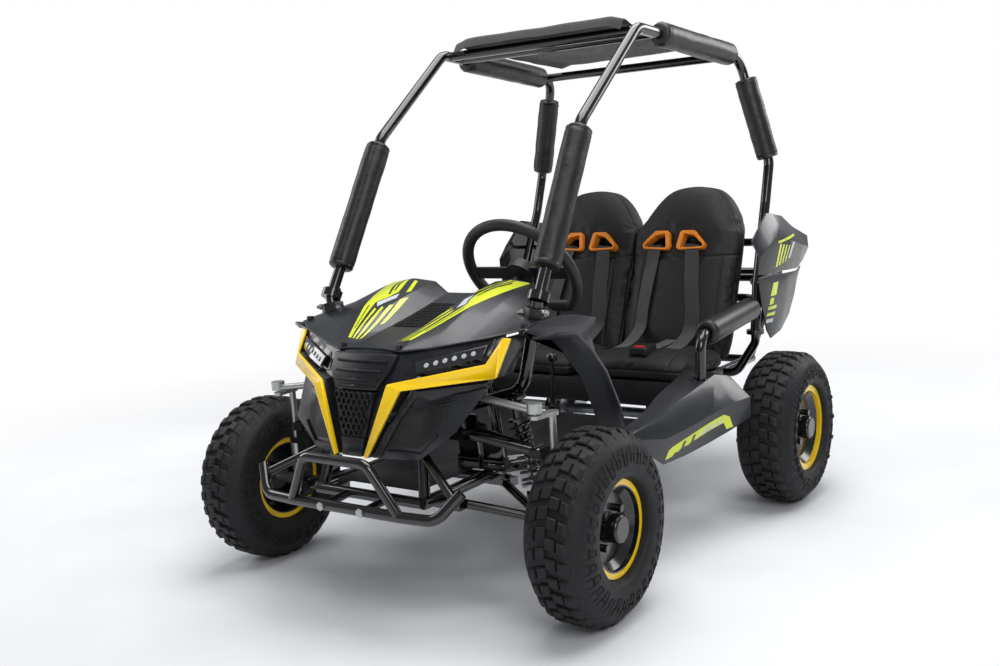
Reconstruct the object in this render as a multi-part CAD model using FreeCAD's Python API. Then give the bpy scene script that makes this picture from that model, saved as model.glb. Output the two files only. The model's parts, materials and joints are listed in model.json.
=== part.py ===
"""Off road go kart, two seats side by side, built as separate pieces.

Millimetres, +Z up, the nose faces -Y and +X is the kart's own left side.
The origin is on the ground, midway between the furthest points in X and Y.
"""
import FreeCAD, Part
import math
import os
from FreeCAD import Vector

# Overall layout, with lengths measured back from the front axle
WHEELBASE = 940.0
NOSE_REACH = 269.0
TAIL_REACH = 1468.0
FRONT_AXLE_Y = (NOSE_REACH - TAIL_REACH) / 2
TYRE_OD = 406.0
AXLE_Z = TYRE_OD / 2
FRONT_WHEEL_X = 472.0
REAR_WHEEL_X = 526.0

# Clearances
SOFT_GAP = 0.3
RUN_GAP = 0.05
SEAT_GAP = 0.3

# Tubes
CAGE_TUBE_D = 28.0
FRAME_TUBE_D = 28.0
CROSS_TUBE_D = 25.0
BUMPER_TUBE_D = 24.0
TUBE_WALL = 2.0

# Main frame
RAIL_Z = 254.0
NOSE_HALF = 150.0
NOSE_TOP_HALF = 120.0
WAIST_HALF = 290.0
NOSE_FRONT = -160.0
NOSE_TOP_FRONT = -108.0
POST_BACK = 150.0
UPPER_RAIL_Z = 415.0
WAIST_BACK = 330.0
KICK_BACK = 640.0
KICK_TOP_BACK = 740.0
SEAT_RAIL_Z = 318.0
REAR_RAIL_END = 1290.0
LOOP_HALF = 360.0
LOOP_Z = 575.0
LOOP_BACK = 1390.0
LOOP_CROSS_BACK = 1225.0
REAR_STAY_BACK = 1290.0
OUTRIGGER_BACKS = (400.0, 600.0)
OUTRIGGER_X = 440.0
OUTRIGGER_Z = 262.0

# Roll cage, left side; the right side mirrors it
PILLAR_BASE = (303.0, 91.0, 661.0)
PILLAR_KINK = (299.0, 311.0, 1033.0)
ROOF_FRONT = (300.0, 596.0, 1258.0)
ROOF_REAR = (319.0, 1186.0, 1215.0)
ROOF_JOINT_SHARE = 0.13
HOOP_PAD_LOW = (391.0, 1213.0, 913.0)
HOOP_MID = (392.0, 1172.0, 795.0)
HOOP_LOW = (400.0, 1075.0, 579.0)
HOOP_FOOT_BACK = 1052.0
HOOP_FOOT_Z = 440.0
CAGE_BEND = 55.0
FLANGE_R = 25.0
FLANGE_T = 6.0
SEAT_BAR_Z = 684.0
SEAT_BAR_LOW_Z = 529.0
ARMREST_Z = 507.0
ARMREST_FRONT = 604.0

# Foam pads and soft covers
PAD_D = 64.0
PAD_ROUND = 14.0

# Front suspension
ARM_INNER_X = 182.0
ARM_OUTER_X = 338.0
LOWER_INNER_Z = 240.0
UPPER_INNER_Z = 385.0
ARM_DROP = 40.0
LOWER_ARM_BACKS = (-95.0, 95.0)
UPPER_ARM_BACKS = (-66.0, -10.0)
ARM_TUBE_D = 20.0
EYE_D = 26.0
EYE_LENGTH = 36.0
PIN_R = 6.0
LUG_T = 6.0
KINGPIN_X = 378.0
KINGPIN_R = 8.0
BARREL_R = 15.0
SPINDLE_R = 10.0
EAR_T = 12.0
WEB_T = 8.0
EAR_LOW_Z = 165.0
EAR_HIGH_Z = 300.0
STEER_ARM_Z = 428.0
STEER_ARM_T = 8.0
TIE_BALL = (370.0, -52.0, 446.0)
TIE_INNER = (178.0, -46.0, 470.0)
TIE_ROD_R = 8.0
BALL_CAP_R = 16.0
BALL_ROOM_R = 13.4
STUD_R = 3.0

# Coil-over shocks
SHOCK_TOP = (262.0, 37.0, 446.0)
SHOCK_FOOT = (300.0, 37.0, 237.0)
SHOCK_BODY_R = 14.0
SHOCK_ROD_R = 6.0
SHOCK_EYE_R = 12.0
SHOCK_FOOT_ROOM = 3.0
SPRING_COIL_R = 20.0
SPRING_WIRE_R = 3.2
SPRING_TURNS = 8
SPRING_LOW = 30.0
SPRING_HIGH = 160.0

# Wheels
FRONT_TYRE_W = 150.0
REAR_TYRE_W = 160.0
FRONT_BEAD_R = 89.0
REAR_BEAD_R = 102.0
FRONT_BEAD_HALF = 46.0
REAR_BEAD_HALF = 56.0
DISC_INSET = 20.0
HUB_PROUD = 8.0
RIM_WALL = 3.0
RIM_LIP = 12.0
TYRE_WALL = 9.0
AXLE_R = 15.0
LUG_COUNT = 4
LUG_CIRCLE_R = 46.0
LUG_R = 8.0

# Steering
WHEEL_HUB = (120.0, 300.0, 690.0)
COLUMN_TILT = 34.5
STEER_RIM_R = 143.0
STEER_GRIP_R = 14.0
COLUMN_R = 11.0
COLUMN_LENGTH = 382.0
BUSH_AT = 225.0
RACK_R = 11.0
RACK_HOUSE_HALF = 134.0

# Seat
SEAT_HALF = 345.0
SEAT_SEAM = 5.0
CUSHION_FRONT = 700.0
CUSHION_REAR = 960.0
CUSHION_LOW_Z = 352.0
CUSHION_TOP_Z = 402.0
CUSHION_CROWN = 14.0
BACK_LEAN = 0.42
BACK_FOOT = 972.0
BACK_FOOT_Z = 366.0
BACK_THICK = 56.0
BACK_CROWN = 34.0
HOLE_X = (88.0, 208.0)
HOLE_Z = 694.0
STRAP_WIDTH = 42.0
BUCKLE_X = 198.0
BUCKLE_BACK = 716.0

# Sheet and moulding thicknesses
PLASTIC = 4.0
SHEET = 2.5

# Drive at the back
SPROCKET_X = 150.0
SPROCKET_R = 86.0
DRIVE_BACK = 1120.0
DRIVE_Z = 306.0
DRIVE_R = 30.0
CHAIN_T = 8.0
CHAIN_DEPTH = 9.0
CARRIER_X = 215.0
CASE_LOW_X = -95.0
CASE_HIGH_X = 128.0

# Pedals and lever
PEDAL_X = (100.0, 168.0)
PEDAL_BACK = 80.0
PEDAL_PIVOT_Z = 287.0
PEDAL_WIDTH = 54.0
PEDAL_PIN_R = 5.0
LEVER_BACK = 600.0
LEVER_TOP_Z = 425.0

LEFT = Vector(1, 0, 0)
BACK = Vector(0, 1, 0)
UP = Vector(0, 0, 1)


def at(x, back, z):
    """A point by its distance behind the front axle."""
    return Vector(x, FRONT_AXLE_Y + back, z)


def spot(place, side=1):
    return at(side * place[0], place[1], place[2])


def mirrored(shape):
    return shape.mirror(Vector(0, 0, 0), LEFT)


def both(shape):
    return Part.makeCompound([shape, mirrored(shape)])


def fuse(shapes):
    return shapes[0].multiFuse(shapes[1:]).removeSplitter()


def rod(start, end, radius):
    way = end - start
    return Part.makeCylinder(radius, way.Length, start, way)


def route(points, bend):
    """A wire of straight runs joined by tangent arcs of about one radius."""
    edges = []
    here = points[0]
    for before, corner, after in zip(points, points[1:], points[2:]):
        inward = (before - corner).normalize()
        outward = (after - corner).normalize()
        half = inward.getAngle(outward) / 2
        room = 0.45 * min((before - corner).Length, (after - corner).Length)
        reach = min(bend / math.tan(half), room)
        radius = reach * math.tan(half)
        start = corner + inward * reach
        end = corner + outward * reach
        toward = (inward + outward).normalize()
        middle = corner + toward * (radius / math.sin(half) - radius)
        edges.append(Part.LineSegment(here, start).toShape())
        edges.append(Part.Arc(start, middle, end).toShape())
        here = end
    edges.append(Part.LineSegment(here, points[-1]).toShape())
    return Part.Wire(edges)


def bar(points, radius, bend=60.0):
    """A solid round bar that follows the points."""
    if len(points) == 2:
        return rod(points[0], points[1], radius)
    way = (points[1] - points[0]).normalize()
    circle = Part.Wire(Part.makeCircle(radius, points[0], way))
    return route(points, bend).makePipeShell([circle], True, False)


def face(points):
    return Part.Face(Part.makePolygon(points + [points[0]]))


def moulding(grid, depth):
    """A moulded sheet: rows of points, made thick along the vector depth."""
    rows = len(grid)
    columns = len(grid[0])
    faces = []
    for r in range(rows - 1):
        for c in range(columns - 1):
            a, b = grid[r][c], grid[r][c + 1]
            d, e = grid[r + 1][c], grid[r + 1][c + 1]
            halves = ([a, b, e], [a, e, d])
            if 2 * c < columns - 1:
                halves = ([a, b, d], [b, e, d])
            for corner in halves:
                faces.append(face(corner))
                faces.append(face([p + depth for p in corner]))
    rim = [grid[0][c] for c in range(columns)]
    rim += [grid[r][columns - 1] for r in range(1, rows)]
    rim += [grid[rows - 1][c] for c in range(columns - 2, -1, -1)]
    rim += [grid[r][0] for r in range(rows - 2, 0, -1)]
    for here, there in zip(rim, rim[1:] + rim[:1]):
        faces.append(face([here, there, there + depth, here + depth]))
    solid = Part.Solid(Part.Shell(faces))
    if solid.Volume < 0:
        solid.reverse()
    return solid


def plate(points, depth):
    """A flat plate: an outline pushed along the vector depth."""
    return face(points).extrude(depth)


def prism(outline, x0, x1):
    """A side outline of (back, z) pairs, pushed from x0 to x1."""
    return plate([at(x0, back, z) for back, z in outline], Vector(x1 - x0, 0, 0))


def box(x, back, z):
    """A box between pairs of limits."""
    corner = at(min(x), min(back), min(z))
    return Part.makeBox(abs(x[1] - x[0]), abs(back[1] - back[0]), abs(z[1] - z[0]), corner)


def turned(profile, centre, axis):
    """Turns an outline of (along, radius) pairs round an axis."""
    points = [centre + axis * a + UP * r for a, r in profile]
    return face(points).revolve(centre, axis, 360)


def toward(start, end):
    return (end - start).normalize()


# Places that several pieces share
def lower_rail(side):
    return [at(side * x, back, z) for x, back, z in (
        (NOSE_HALF, NOSE_FRONT, RAIL_Z),
        (NOSE_HALF, POST_BACK, RAIL_Z),
        (WAIST_HALF, WAIST_BACK, RAIL_Z),
        (WAIST_HALF, KICK_BACK, RAIL_Z),
        (WAIST_HALF, KICK_TOP_BACK, SEAT_RAIL_Z),
        (WAIST_HALF, REAR_RAIL_END, SEAT_RAIL_Z))]


def roof_joint(side):
    front = spot(ROOF_FRONT, side)
    return front + (spot(ROOF_REAR, side) - front) * ROOF_JOINT_SHARE


def hoop_points(side):
    points = [roof_joint(side)]
    points += [spot(place, side) for place in (ROOF_REAR, HOOP_PAD_LOW, HOOP_MID, HOOP_LOW)]
    points.append(at(side * HOOP_LOW[0], HOOP_FOOT_BACK, HOOP_FOOT_Z))
    return points


def pillar_way(side):
    return toward(spot(PILLAR_BASE, side), spot(PILLAR_KINK, side))


def stub_points(side):
    top = spot(PILLAR_BASE, side) - pillar_way(side) * (2 * FLANGE_T)
    return [at(side * NOSE_TOP_HALF, 70, UPPER_RAIL_Z), at(side * 262, 70, 455), top]


def stub_clearance(extra):
    return [bar(stub_points(side), FRAME_TUBE_D / 2 + extra, 60) for side in (-1, 1)]


def column_way():
    tilt = math.radians(COLUMN_TILT)
    return Vector(0, -math.cos(tilt), -math.sin(tilt))


def arm_outer(inner_z, side=1):
    return at(side * ARM_OUTER_X, 0, inner_z - ARM_DROP)


def back_front(z):
    """How far back the seat's front face is at a height, before its crown."""
    return BACK_FOOT + BACK_LEAN * (z - BACK_FOOT_Z)


# Frame and cage
def main_frame():
    r = FRAME_TUBE_D / 2
    c = CROSS_TUBE_D / 2
    parts = []
    for side in (-1, 1):
        parts.append(bar(lower_rail(side), r))
        parts.append(bar([at(side * (NOSE_HALF - 4), NOSE_FRONT + 10, RAIL_Z),
                          at(side * NOSE_TOP_HALF, NOSE_TOP_FRONT, UPPER_RAIL_Z),
                          at(side * NOSE_TOP_HALF, POST_BACK + 10, UPPER_RAIL_Z)], c, 40))
        parts.append(rod(at(side * NOSE_HALF, POST_BACK - 12, RAIL_Z),
                         at(side * (NOSE_TOP_HALF + 6), POST_BACK - 12, UPPER_RAIL_Z), c))
        parts.append(bar(stub_points(side), r - 0.5, 60))
        base = spot(PILLAR_BASE, side)
        parts.append(rod(base - pillar_way(side) * (2.4 * FLANGE_T), base, FLANGE_R))
        foot = [at(side * WAIST_HALF, HOOP_FOOT_BACK, SEAT_RAIL_Z),
                at(side * (WAIST_HALF + 50), HOOP_FOOT_BACK, SEAT_RAIL_Z),
                at(side * HOOP_LOW[0], HOOP_FOOT_BACK, HOOP_FOOT_Z - 30),
                at(side * HOOP_LOW[0], HOOP_FOOT_BACK, HOOP_FOOT_Z - FLANGE_T)]
        parts.append(bar(foot, c, 50))
        parts.append(rod(foot[-1], foot[-1] + UP * FLANGE_T, FLANGE_R))
        parts.append(rod(at(side * WAIST_HALF, REAR_RAIL_END - r, SEAT_RAIL_Z),
                         at(side * LOOP_HALF, LOOP_BACK - 50, LOOP_Z), c - 1))
        parts.append(bar([at(side * 376, HOOP_LOW[1] + 40, LOOP_Z),
                          at(side * LOOP_HALF, LOOP_CROSS_BACK - 40, LOOP_Z),
                          at(side * LOOP_HALF, LOOP_BACK, LOOP_Z),
                          at(0, LOOP_BACK, LOOP_Z)], c, 50))
        for inner_z, backs in ((LOWER_INNER_Z, LOWER_ARM_BACKS), (UPPER_INNER_Z, UPPER_ARM_BACKS)):
            for back in backs:
                parts.append(arm_bracket(side, inner_z, back))
        top = spot(SHOCK_TOP, side)
        parts.append(rod(top - BACK * 20, at(side * SHOCK_TOP[0], 72, SHOCK_TOP[2]), PIN_R))
        parts.append(axle_carrier(side))
    for back, half, z in ((NOSE_FRONT, NOSE_HALF, RAIL_Z), (60, NOSE_HALF, RAIL_Z),
                          (WAIST_BACK + 60, WAIST_HALF, RAIL_Z),
                          (KICK_BACK - 30, WAIST_HALF, RAIL_Z),
                          (KICK_TOP_BACK + 60, WAIST_HALF, SEAT_RAIL_Z),
                          (WHEELBASE, WAIST_HALF, SEAT_RAIL_Z),
                          (REAR_RAIL_END - 20, WAIST_HALF, SEAT_RAIL_Z),
                          (LOOP_CROSS_BACK, LOOP_HALF, LOOP_Z),
                          (NOSE_TOP_FRONT + 20, NOSE_TOP_HALF, UPPER_RAIL_Z),
                          (POST_BACK, NOSE_TOP_HALF, UPPER_RAIL_Z)):
        parts.append(rod(at(-half, back, z), at(half, back, z), c - 0.5))
    for x in (-56, 56):
        parts.append(rod(at(x, NOSE_FRONT, RAIL_Z), at(x, BUMPER_FRONT + BUMPER_TUBE_D / 2
                                                      + SEAT_GAP, BUMPER_Z), 9))
    parts += engine_plates() + outriggers()
    frame = fuse(parts + column_support())
    return frame.cut(Part.makeCompound(frame_bores()))


def outriggers():
    """Stays that run out to the inner faces of the side and rear panels."""
    r = CROSS_TUBE_D / 2 - 2
    stays = [rod(at(WAIST_HALF, back, RAIL_Z), at(OUTRIGGER_X + 50, back, OUTRIGGER_Z), r)
             for back in OUTRIGGER_BACKS]
    outside = shifted(side_panel_grid(), Vector(-PLASTIC - SEAT_GAP, 0, -PLASTIC - SEAT_GAP))
    stays = [stay.cut(moulding(outside, LEFT * 90)) for stay in stays]
    loop = rod(at(LOOP_HALF, REAR_STAY_BACK, LOOP_Z), at(470, REAR_STAY_BACK, LOOP_Z), 6)
    stays.append(within_rear_panels(loop))
    return stays + [mirrored(stay) for stay in stays]


def arm_bracket(side, z, back):
    """A welded tab with the pivot pin of one arm leg."""
    top = min(z + 14, RAIL_Z) if z < RAIL_Z else UPPER_RAIL_Z
    tab = box((side * NOSE_TOP_HALF, side * (ARM_INNER_X + 9)),
              (back - LUG_T / 2, back + LUG_T / 2), (z - 14, top))
    leg = EYE_LENGTH / 2
    pin = rod(at(side * ARM_INNER_X, back - leg, z), at(side * ARM_INNER_X, back + leg, z), PIN_R)
    return tab.fuse(pin)


def axle_carrier(side):
    x = side * CARRIER_X
    hanger = prism(((WHEELBASE - 40, SEAT_RAIL_Z), (WHEELBASE + 40, SEAT_RAIL_Z),
                    (WHEELBASE + 28, AXLE_Z), (WHEELBASE - 28, AXLE_Z)), x - 5, x + 5)
    boss = rod(at(x - 16, WHEELBASE, AXLE_Z), at(x + 16, WHEELBASE, AXLE_Z), 34)
    return hanger.fuse(boss)


def engine_plates():
    outline = ((WHEELBASE, SEAT_RAIL_Z - 8), (WHEELBASE + 60, SEAT_RAIL_Z - 18),
               (REAR_RAIL_END - 20, SEAT_RAIL_Z - 18), (REAR_RAIL_END - 20, SEAT_RAIL_Z + 12),
               (WHEELBASE, SEAT_RAIL_Z + 12))
    low = CASE_LOW_X - SEAT_GAP
    high = CASE_HIGH_X + SEAT_GAP
    return [prism(outline, low - 5, low), prism(outline, high, high + 5)]


def column_support():
    """The bush that holds the column, the rack housing and their stays."""
    hub = spot(WHEEL_HUB)
    way = column_way()
    bush = rod(hub + way * (BUSH_AT - 18), hub + way * (BUSH_AT + 18), COLUMN_R + 6)
    low = hub + way * (BUSH_AT + 8)
    left = rod(at(NOSE_TOP_HALF, POST_BACK, UPPER_RAIL_Z), low + LEFT * 6, 8)
    right = rod(at(-40, POST_BACK, UPPER_RAIL_Z), low - LEFT * 6, 8)
    back, z = TIE_INNER[1], TIE_INNER[2]
    house = rod(at(-RACK_HOUSE_HALF, back, z), at(RACK_HOUSE_HALF, back, z), RACK_R + 7)
    feet = [box((x - 4, x + 4), (NOSE_TOP_FRONT + 8, back + 14), (UPPER_RAIL_Z, z)) for x in (-90, 90)]
    pinion = rod(hub + way * (COLUMN_LENGTH - 22), hub + way * (COLUMN_LENGTH + 20), COLUMN_R + 4)
    return [bush, left, right, house, pinion] + feet


def frame_bores():
    hub = spot(WHEEL_HUB)
    way = column_way()
    back, z = TIE_INNER[1], TIE_INNER[2]
    bores = [rod(hub + way * (BUSH_AT - 30), hub + way * (BUSH_AT + 30), COLUMN_R + RUN_GAP),
             rod(hub + way * (COLUMN_LENGTH - 60), hub + way * (COLUMN_LENGTH + 2),
                 COLUMN_R + RUN_GAP),
             rod(at(-RACK_HOUSE_HALF - 5, back, z), at(RACK_HOUSE_HALF + 5, back, z),
                 RACK_R + RUN_GAP),
             rod(at(CASE_LOW_X - 20, DRIVE_BACK, DRIVE_Z - 2), at(CASE_LOW_X, DRIVE_BACK, DRIVE_Z - 2),
                 14 + SEAT_GAP),
             rod(at(CASE_HIGH_X, DRIVE_BACK, DRIVE_Z), at(SPROCKET_X, DRIVE_BACK, DRIVE_Z), 14)]
    for side in (-1, 1):
        x = side * CARRIER_X
        bores.append(rod(at(x - 20, WHEELBASE, AXLE_Z), at(x + 20, WHEELBASE, AXLE_Z),
                         AXLE_R + RUN_GAP))
    return bores


def floor_pan():
    z = RAIL_Z + FRAME_TUBE_D / 2 + SEAT_GAP
    half = ((-130, 118), (POST_BACK - 30, 118), (POST_BACK + 30, 124),
            (WAIST_BACK + 10, 280), (KICK_BACK - 25, 280))
    outline = [at(x, back, z) for back, x in half]
    outline += [at(-x, back, z) for back, x in reversed(half)]
    parts = [plate(outline, UP * SHEET),
             box((100, PEDAL_X[1] + PEDAL_WIDTH / 2 + 8), (PEDAL_BACK - 16, PEDAL_BACK + 16),
                 (z, z + SHEET))]
    for x in PEDAL_X:
        parts += pin_lugs(x, PEDAL_WIDTH, PEDAL_BACK, z)
    parts += pin_lugs(0, 20, LEVER_BACK, z)
    return fuse(parts)


def pin_lugs(x, width, back, floor_z):
    """Two ears and a pin for a pedal or lever."""
    near = width / 2 + SEAT_GAP
    ears = [box((x + s * near, x + s * (near + 4)), (back - 9, back + 9),
                (floor_z, PEDAL_PIVOT_Z + 9)) for s in (-1, 1)]
    pin = rod(at(x - near - 4, back, PEDAL_PIVOT_Z), at(x + near + 4, back, PEDAL_PIVOT_Z),
              PEDAL_PIN_R)
    return ears + [pin]


BUMPER_FRONT = -240.0
BUMPER_Z = 249.0
HOOP_FRONT = -258.0


def front_bumper():
    r = BUMPER_TUBE_D / 2
    low = [at(x, back, z) for x, back, z in (
        (-282, -197, 303), (-240, -232, BUMPER_Z), (-150, BUMPER_FRONT, BUMPER_Z),
        (150, BUMPER_FRONT, BUMPER_Z), (240, -232, BUMPER_Z), (282, -197, 303))]
    hoop = [at(-152, BUMPER_FRONT, BUMPER_Z), at(-88, HOOP_FRONT, 357),
            at(88, HOOP_FRONT, 357), at(152, BUMPER_FRONT, BUMPER_Z)]
    parts = [bar(low, r, 45), bar(hoop, r - 1, 28)]
    for side in (-1, 1):
        parts.append(rod(at(side * 268, -203, 286), at(side * 150, -138, 344), r - 2))
    return fuse(parts)


def cage_front_hoop():
    r = CAGE_TUBE_D / 2
    outers, inners = [], []
    for side in (-1, 1):
        base = spot(PILLAR_BASE, side)
        way = pillar_way(side)
        points = [base + way * 1, spot(PILLAR_KINK, side), spot(ROOF_FRONT, side), roof_joint(side)]
        outers.append(bar(points, r, CAGE_BEND))
        outers.append(rod(base, base + way * FLANGE_T, FLANGE_R))
        inners.append(bar(points, r - TUBE_WALL, CAGE_BEND))
    cross = spot(ROOF_FRONT) + BACK * 34 - UP * 2
    outers.append(rod(cross, cross - LEFT * (2 * ROOF_FRONT[0]), CROSS_TUBE_D / 2))
    return fuse(outers).cut(Part.makeCompound(inners))


def cage_rear_hoop():
    r = CAGE_TUBE_D / 2
    c = CROSS_TUBE_D / 2
    outers, inners = [], []
    for side in (-1, 1):
        points = hoop_points(side)
        outers.append(bar(points, r, CAGE_BEND))
        inners.append(bar(points, r - TUBE_WALL, CAGE_BEND))
        foot = points[-1]
        outers.append(rod(foot, foot + UP * FLANGE_T, FLANGE_R))
        arm_z = OUTRIGGER_Z + c - 1
        arm = [at(side * (HOOP_LOW[0] - 1), HOOP_LOW[1] - 14, ARMREST_Z + 6),
               at(side * (OUTRIGGER_X - 4), ARMREST_FRONT, ARMREST_Z - 9),
               at(side * (OUTRIGGER_X - 8), OUTRIGGER_BACKS[1], arm_z)]
        outers.append(bar(arm, r - 1, 40))
    for back, z in ((1124.0, 684.0), (1070.0, 540.0)):
        stay = within_rear_panels(rod(at(397, back, z), at(470, back, z), 6))
        outers += [stay, mirrored(stay)]
    joint = roof_joint(1)
    rear = spot(ROOF_REAR)
    for share in (0.03, 0.915):
        middle = joint + (rear - joint) * share
        outers.append(rod(middle, Vector(-middle.x, middle.y, middle.z), c))
    for z in (SEAT_BAR_Z, SEAT_BAR_LOW_Z):
        half = 397.0
        away = (c - 1 + SEAT_GAP) / math.cos(math.atan(BACK_LEAN))
        back = back_front(z) + BACK_THICK + away
        side_back = 1126.0 if z > 600 else 1066.0
        path = [at(-half, side_back, z), at(-half + 40, back, z),
                at(half - 40, back, z), at(half, side_back, z)]
        outers.append(bar(path, c - 1, 30))
    below = box((-450, 450), (HOOP_FOOT_BACK - 40, HOOP_FOOT_BACK + 40),
                (HOOP_FOOT_Z - 30, HOOP_FOOT_Z))
    return fuse(outers).cut(Part.makeCompound(inners + [below]))


def pad(start, end, bore):
    body = rod(start, end, PAD_D / 2)
    rims = [e for e in body.Edges if e.Curve.TypeId == "Part::GeomCircle"]
    body = body.makeFillet(PAD_ROUND, rims)
    return body.cut(rod(start, end, bore))


def foam_pads():
    bore = CAGE_TUBE_D / 2 + SOFT_GAP
    base = spot(PILLAR_BASE)
    kink = spot(PILLAR_KINK)
    front = pad(base + pillar_way(1) * 66, kink - pillar_way(1) * 20, bore)
    top = spot(ROOF_REAR)
    low = spot(HOOP_PAD_LOW)
    down = toward(top, low)
    rear = pad(top + down * 64, low - down * 12, bore)
    joint = roof_joint(1)
    along = toward(joint, top)
    roof = pad(joint + along * 34, top - along * 66, bore)
    pads = [front, rear, roof]
    return Part.makeCompound(pads + [mirrored(p) for p in pads])


def roof_canopy():
    """A sheet that lies on the roof's cross tubes, with a rolled front."""
    joint = roof_joint(1)
    c = CROSS_TUBE_D / 2 + SOFT_GAP
    front = ROOF_FRONT[1] - 4
    top = ROOF_FRONT[2] - 2 + c
    rear = 1150.0
    rear_top = ROOF_REAR[2] + 4 + c
    half = 262.0
    sections = []
    for share, sag in ((-1.0, 0.0), (-0.5, 3.0), (0.0, 4.0), (0.5, 3.0), (1.0, 0.0)):
        x = share * half
        drop = 4.0 * abs(share)
        outline = [at(x, front, top + 4 - drop), at(x, front - 8, top + 18 - drop),
                   at(x, front + 8, top + 34 - drop), at(x, front + 46, top + 26 - drop),
                   at(x, (front + rear) / 2, (top + rear_top) / 2 + 14 - drop + sag),
                   at(x, rear, rear_top + 12 - drop), at(x, rear + 8, rear_top + 4),
                   at(x, rear - 6, rear_top), at(x, front + 48, top)]
        sections.append(Part.makePolygon(outline + [outline[0]]))
    return Part.makeLoft(sections, True, True)


# Front bodywork
HOOD_LINES = (
    (0.0, -126.0, 573.0, 219.0, 649.0, -4.0),
    (45.0, -128.0, 573.0, 222.0, 649.0, -4.0),
    (89.0, -130.0, 569.0, 232.0, 675.0, 14.0),
    (150.0, -100.0, 573.0, 225.0, 683.0, 20.0),
    (206.0, -70.0, 582.0, 209.0, 674.0, 12.0),
    (255.0, -45.0, 590.0, 165.0, 642.0, 8.0),
    (320.0, 0.0, 604.0, 130.0, 618.0, 2.0))
HOOD_STEPS = 6


def hood_point(line, share):
    x, front, low, rear, high, crown = line
    back = front + (rear - front) * share
    return at(x, back, low + (high - low) * share + 4 * crown * share * (1 - share))


def hood_grid(lift=0.0):
    grid = []
    for step in range(HOOD_STEPS + 1):
        left = [hood_point(line, step / HOOD_STEPS) + UP * lift for line in HOOD_LINES]
        right = [Vector(-p.x, p.y, p.z) for p in reversed(left[1:])]
        grid.append(right + left)
    return grid


def hood():
    skin = moulding(hood_grid(), UP * -PLASTIC)
    return skin.cut(Part.makeCompound(stub_clearance(5)))


def under_hood(shape):
    """Trims away all that stands higher than the hood's underside."""
    return shape.cut(moulding(hood_grid(60), UP * -(60 + PLASTIC + SEAT_GAP)))


def on_hood(shape):
    """Trims away all that lies lower than the hood's top."""
    return shape.cut(moulding(hood_grid(SEAT_GAP), UP * -60))


def wide(rows):
    """Rows given for the left half, completed by their mirror."""
    grid = []
    for row in rows:
        left = [spot(place) for place in row]
        right = [Vector(-p.x, p.y, p.z) for p in reversed(left)]
        if left[0].x == 0:
            right = right[:-1]
        grid.append(right + left)
    return grid


COWL_ROWS = (
    ((0, -118, 585), (60, -118, 585), (150, -84, 590), (286, -12, 606)),
    ((0, -160, 500), (72, -158, 500), (150, -128, 508), (282, -44, 530)),
    ((0, -172, 470), (56, -170, 470), (158, -118, 466), (268, -51, 498)),
    ((0, -184, 400), (44, -184, 400), (152, -150, 395), (226, -134, 406)),
    ((0, -190, 350), (34, -190, 350), (110, -168, 346), (150, -158, 348)))
SHIELD_T = 7.0
MESH_T = 5.0
BLADE_T = 9.0
LENS_T = 10.0


def shifted(grid, vector):
    return [[p + vector for p in row] for row in grid]


def shield_grid():
    return wide((((0, -144, 562), (88, -138, 562)), ((0, -168, 526), (82, -161, 528)),
                 ((0, -184, 492), (57, -178, 492))))


def mesh_grid():
    return wide((((0, -184, 488), (56, -180, 488)), ((0, -196, 394), (34, -194, 394))))


def blade_grid():
    outer = ((46, -211, 352), (122, -178, 494), (288, -68, 510), (301, -26, 586))
    inner = ((39, -211, 356), (94, -184, 508), (270, -76, 540), (284, -29, 588))
    return [[spot(p) for p in outer], [spot(p) for p in inner]]


def lens_grid():
    top = ((128, -128, 548), (200, -86, 562), (262, -50, 576))
    low = ((138, -138, 526), (204, -102, 538), (258, -66, 552))
    return [[spot(p) for p in top], [spot(p) for p in low]]


def nose_cowl():
    """The nose moulding, with raised seats behind the pieces it carries."""
    rows = wide(COWL_ROWS)
    skin = moulding(rows, BACK * PLASTIC)
    behind = moulding(shifted(rows, BACK * (PLASTIC / 2)), BACK * 90)
    seats = []
    for grid, thick in ((shield_grid(), SHIELD_T), (mesh_grid(), MESH_T)):
        seats.append(moulding(shifted(grid, BACK * (thick + SEAT_GAP)), BACK * 40))
    for grid, thick in ((blade_grid(), BLADE_T), (lens_grid(), LENS_T)):
        seat = moulding(shifted(grid, BACK * (thick + SEAT_GAP)), BACK * 56)
        seats += [seat, mirrored(seat)]
    seats.append(moulding(wide((((0, -197, 392), (33, -196, 392)),
                                ((0, -204, 353), (27, -203, 353)))), BACK * 30))
    seats = [seat.cut(behind) for seat in seats]
    return under_hood(fuse([skin] + seats))


def grille_shield():
    return under_hood(moulding(shield_grid(), BACK * SHIELD_T))


def grille_mesh():
    return moulding(mesh_grid(), BACK * MESH_T)


def grille_blades():
    return both(under_hood(moulding(blade_grid(), BACK * BLADE_T)))


def headlight_lenses():
    return both(moulding(lens_grid(), BACK * LENS_T))


FENDER_X = 320.3
FENDER_EDGE = ((20, 578), (95, 566), (150, 526), (215, 460), (262, 382), (296, 302))


def front_fenders():
    outline = [(-6, 598), (60, 611), (130, 613), (205, 606), (293, 587), (267, 543), (293, 478),
               (317, 380), (322, 300)]
    outline += list(reversed(FENDER_EDGE))
    side = prism(outline, FENDER_X, FENDER_X + PLASTIC)
    grid = [[at(x, back + lean, z + lean) for back, z in FENDER_EDGE]
            for x, lean in ((FENDER_X + 1, 0), (FENDER_X + 40, 4), (FENDER_X + 62, 12))]
    lip = moulding(grid, Vector(0, 4, 5))
    return both(side.fuse(lip))


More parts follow.
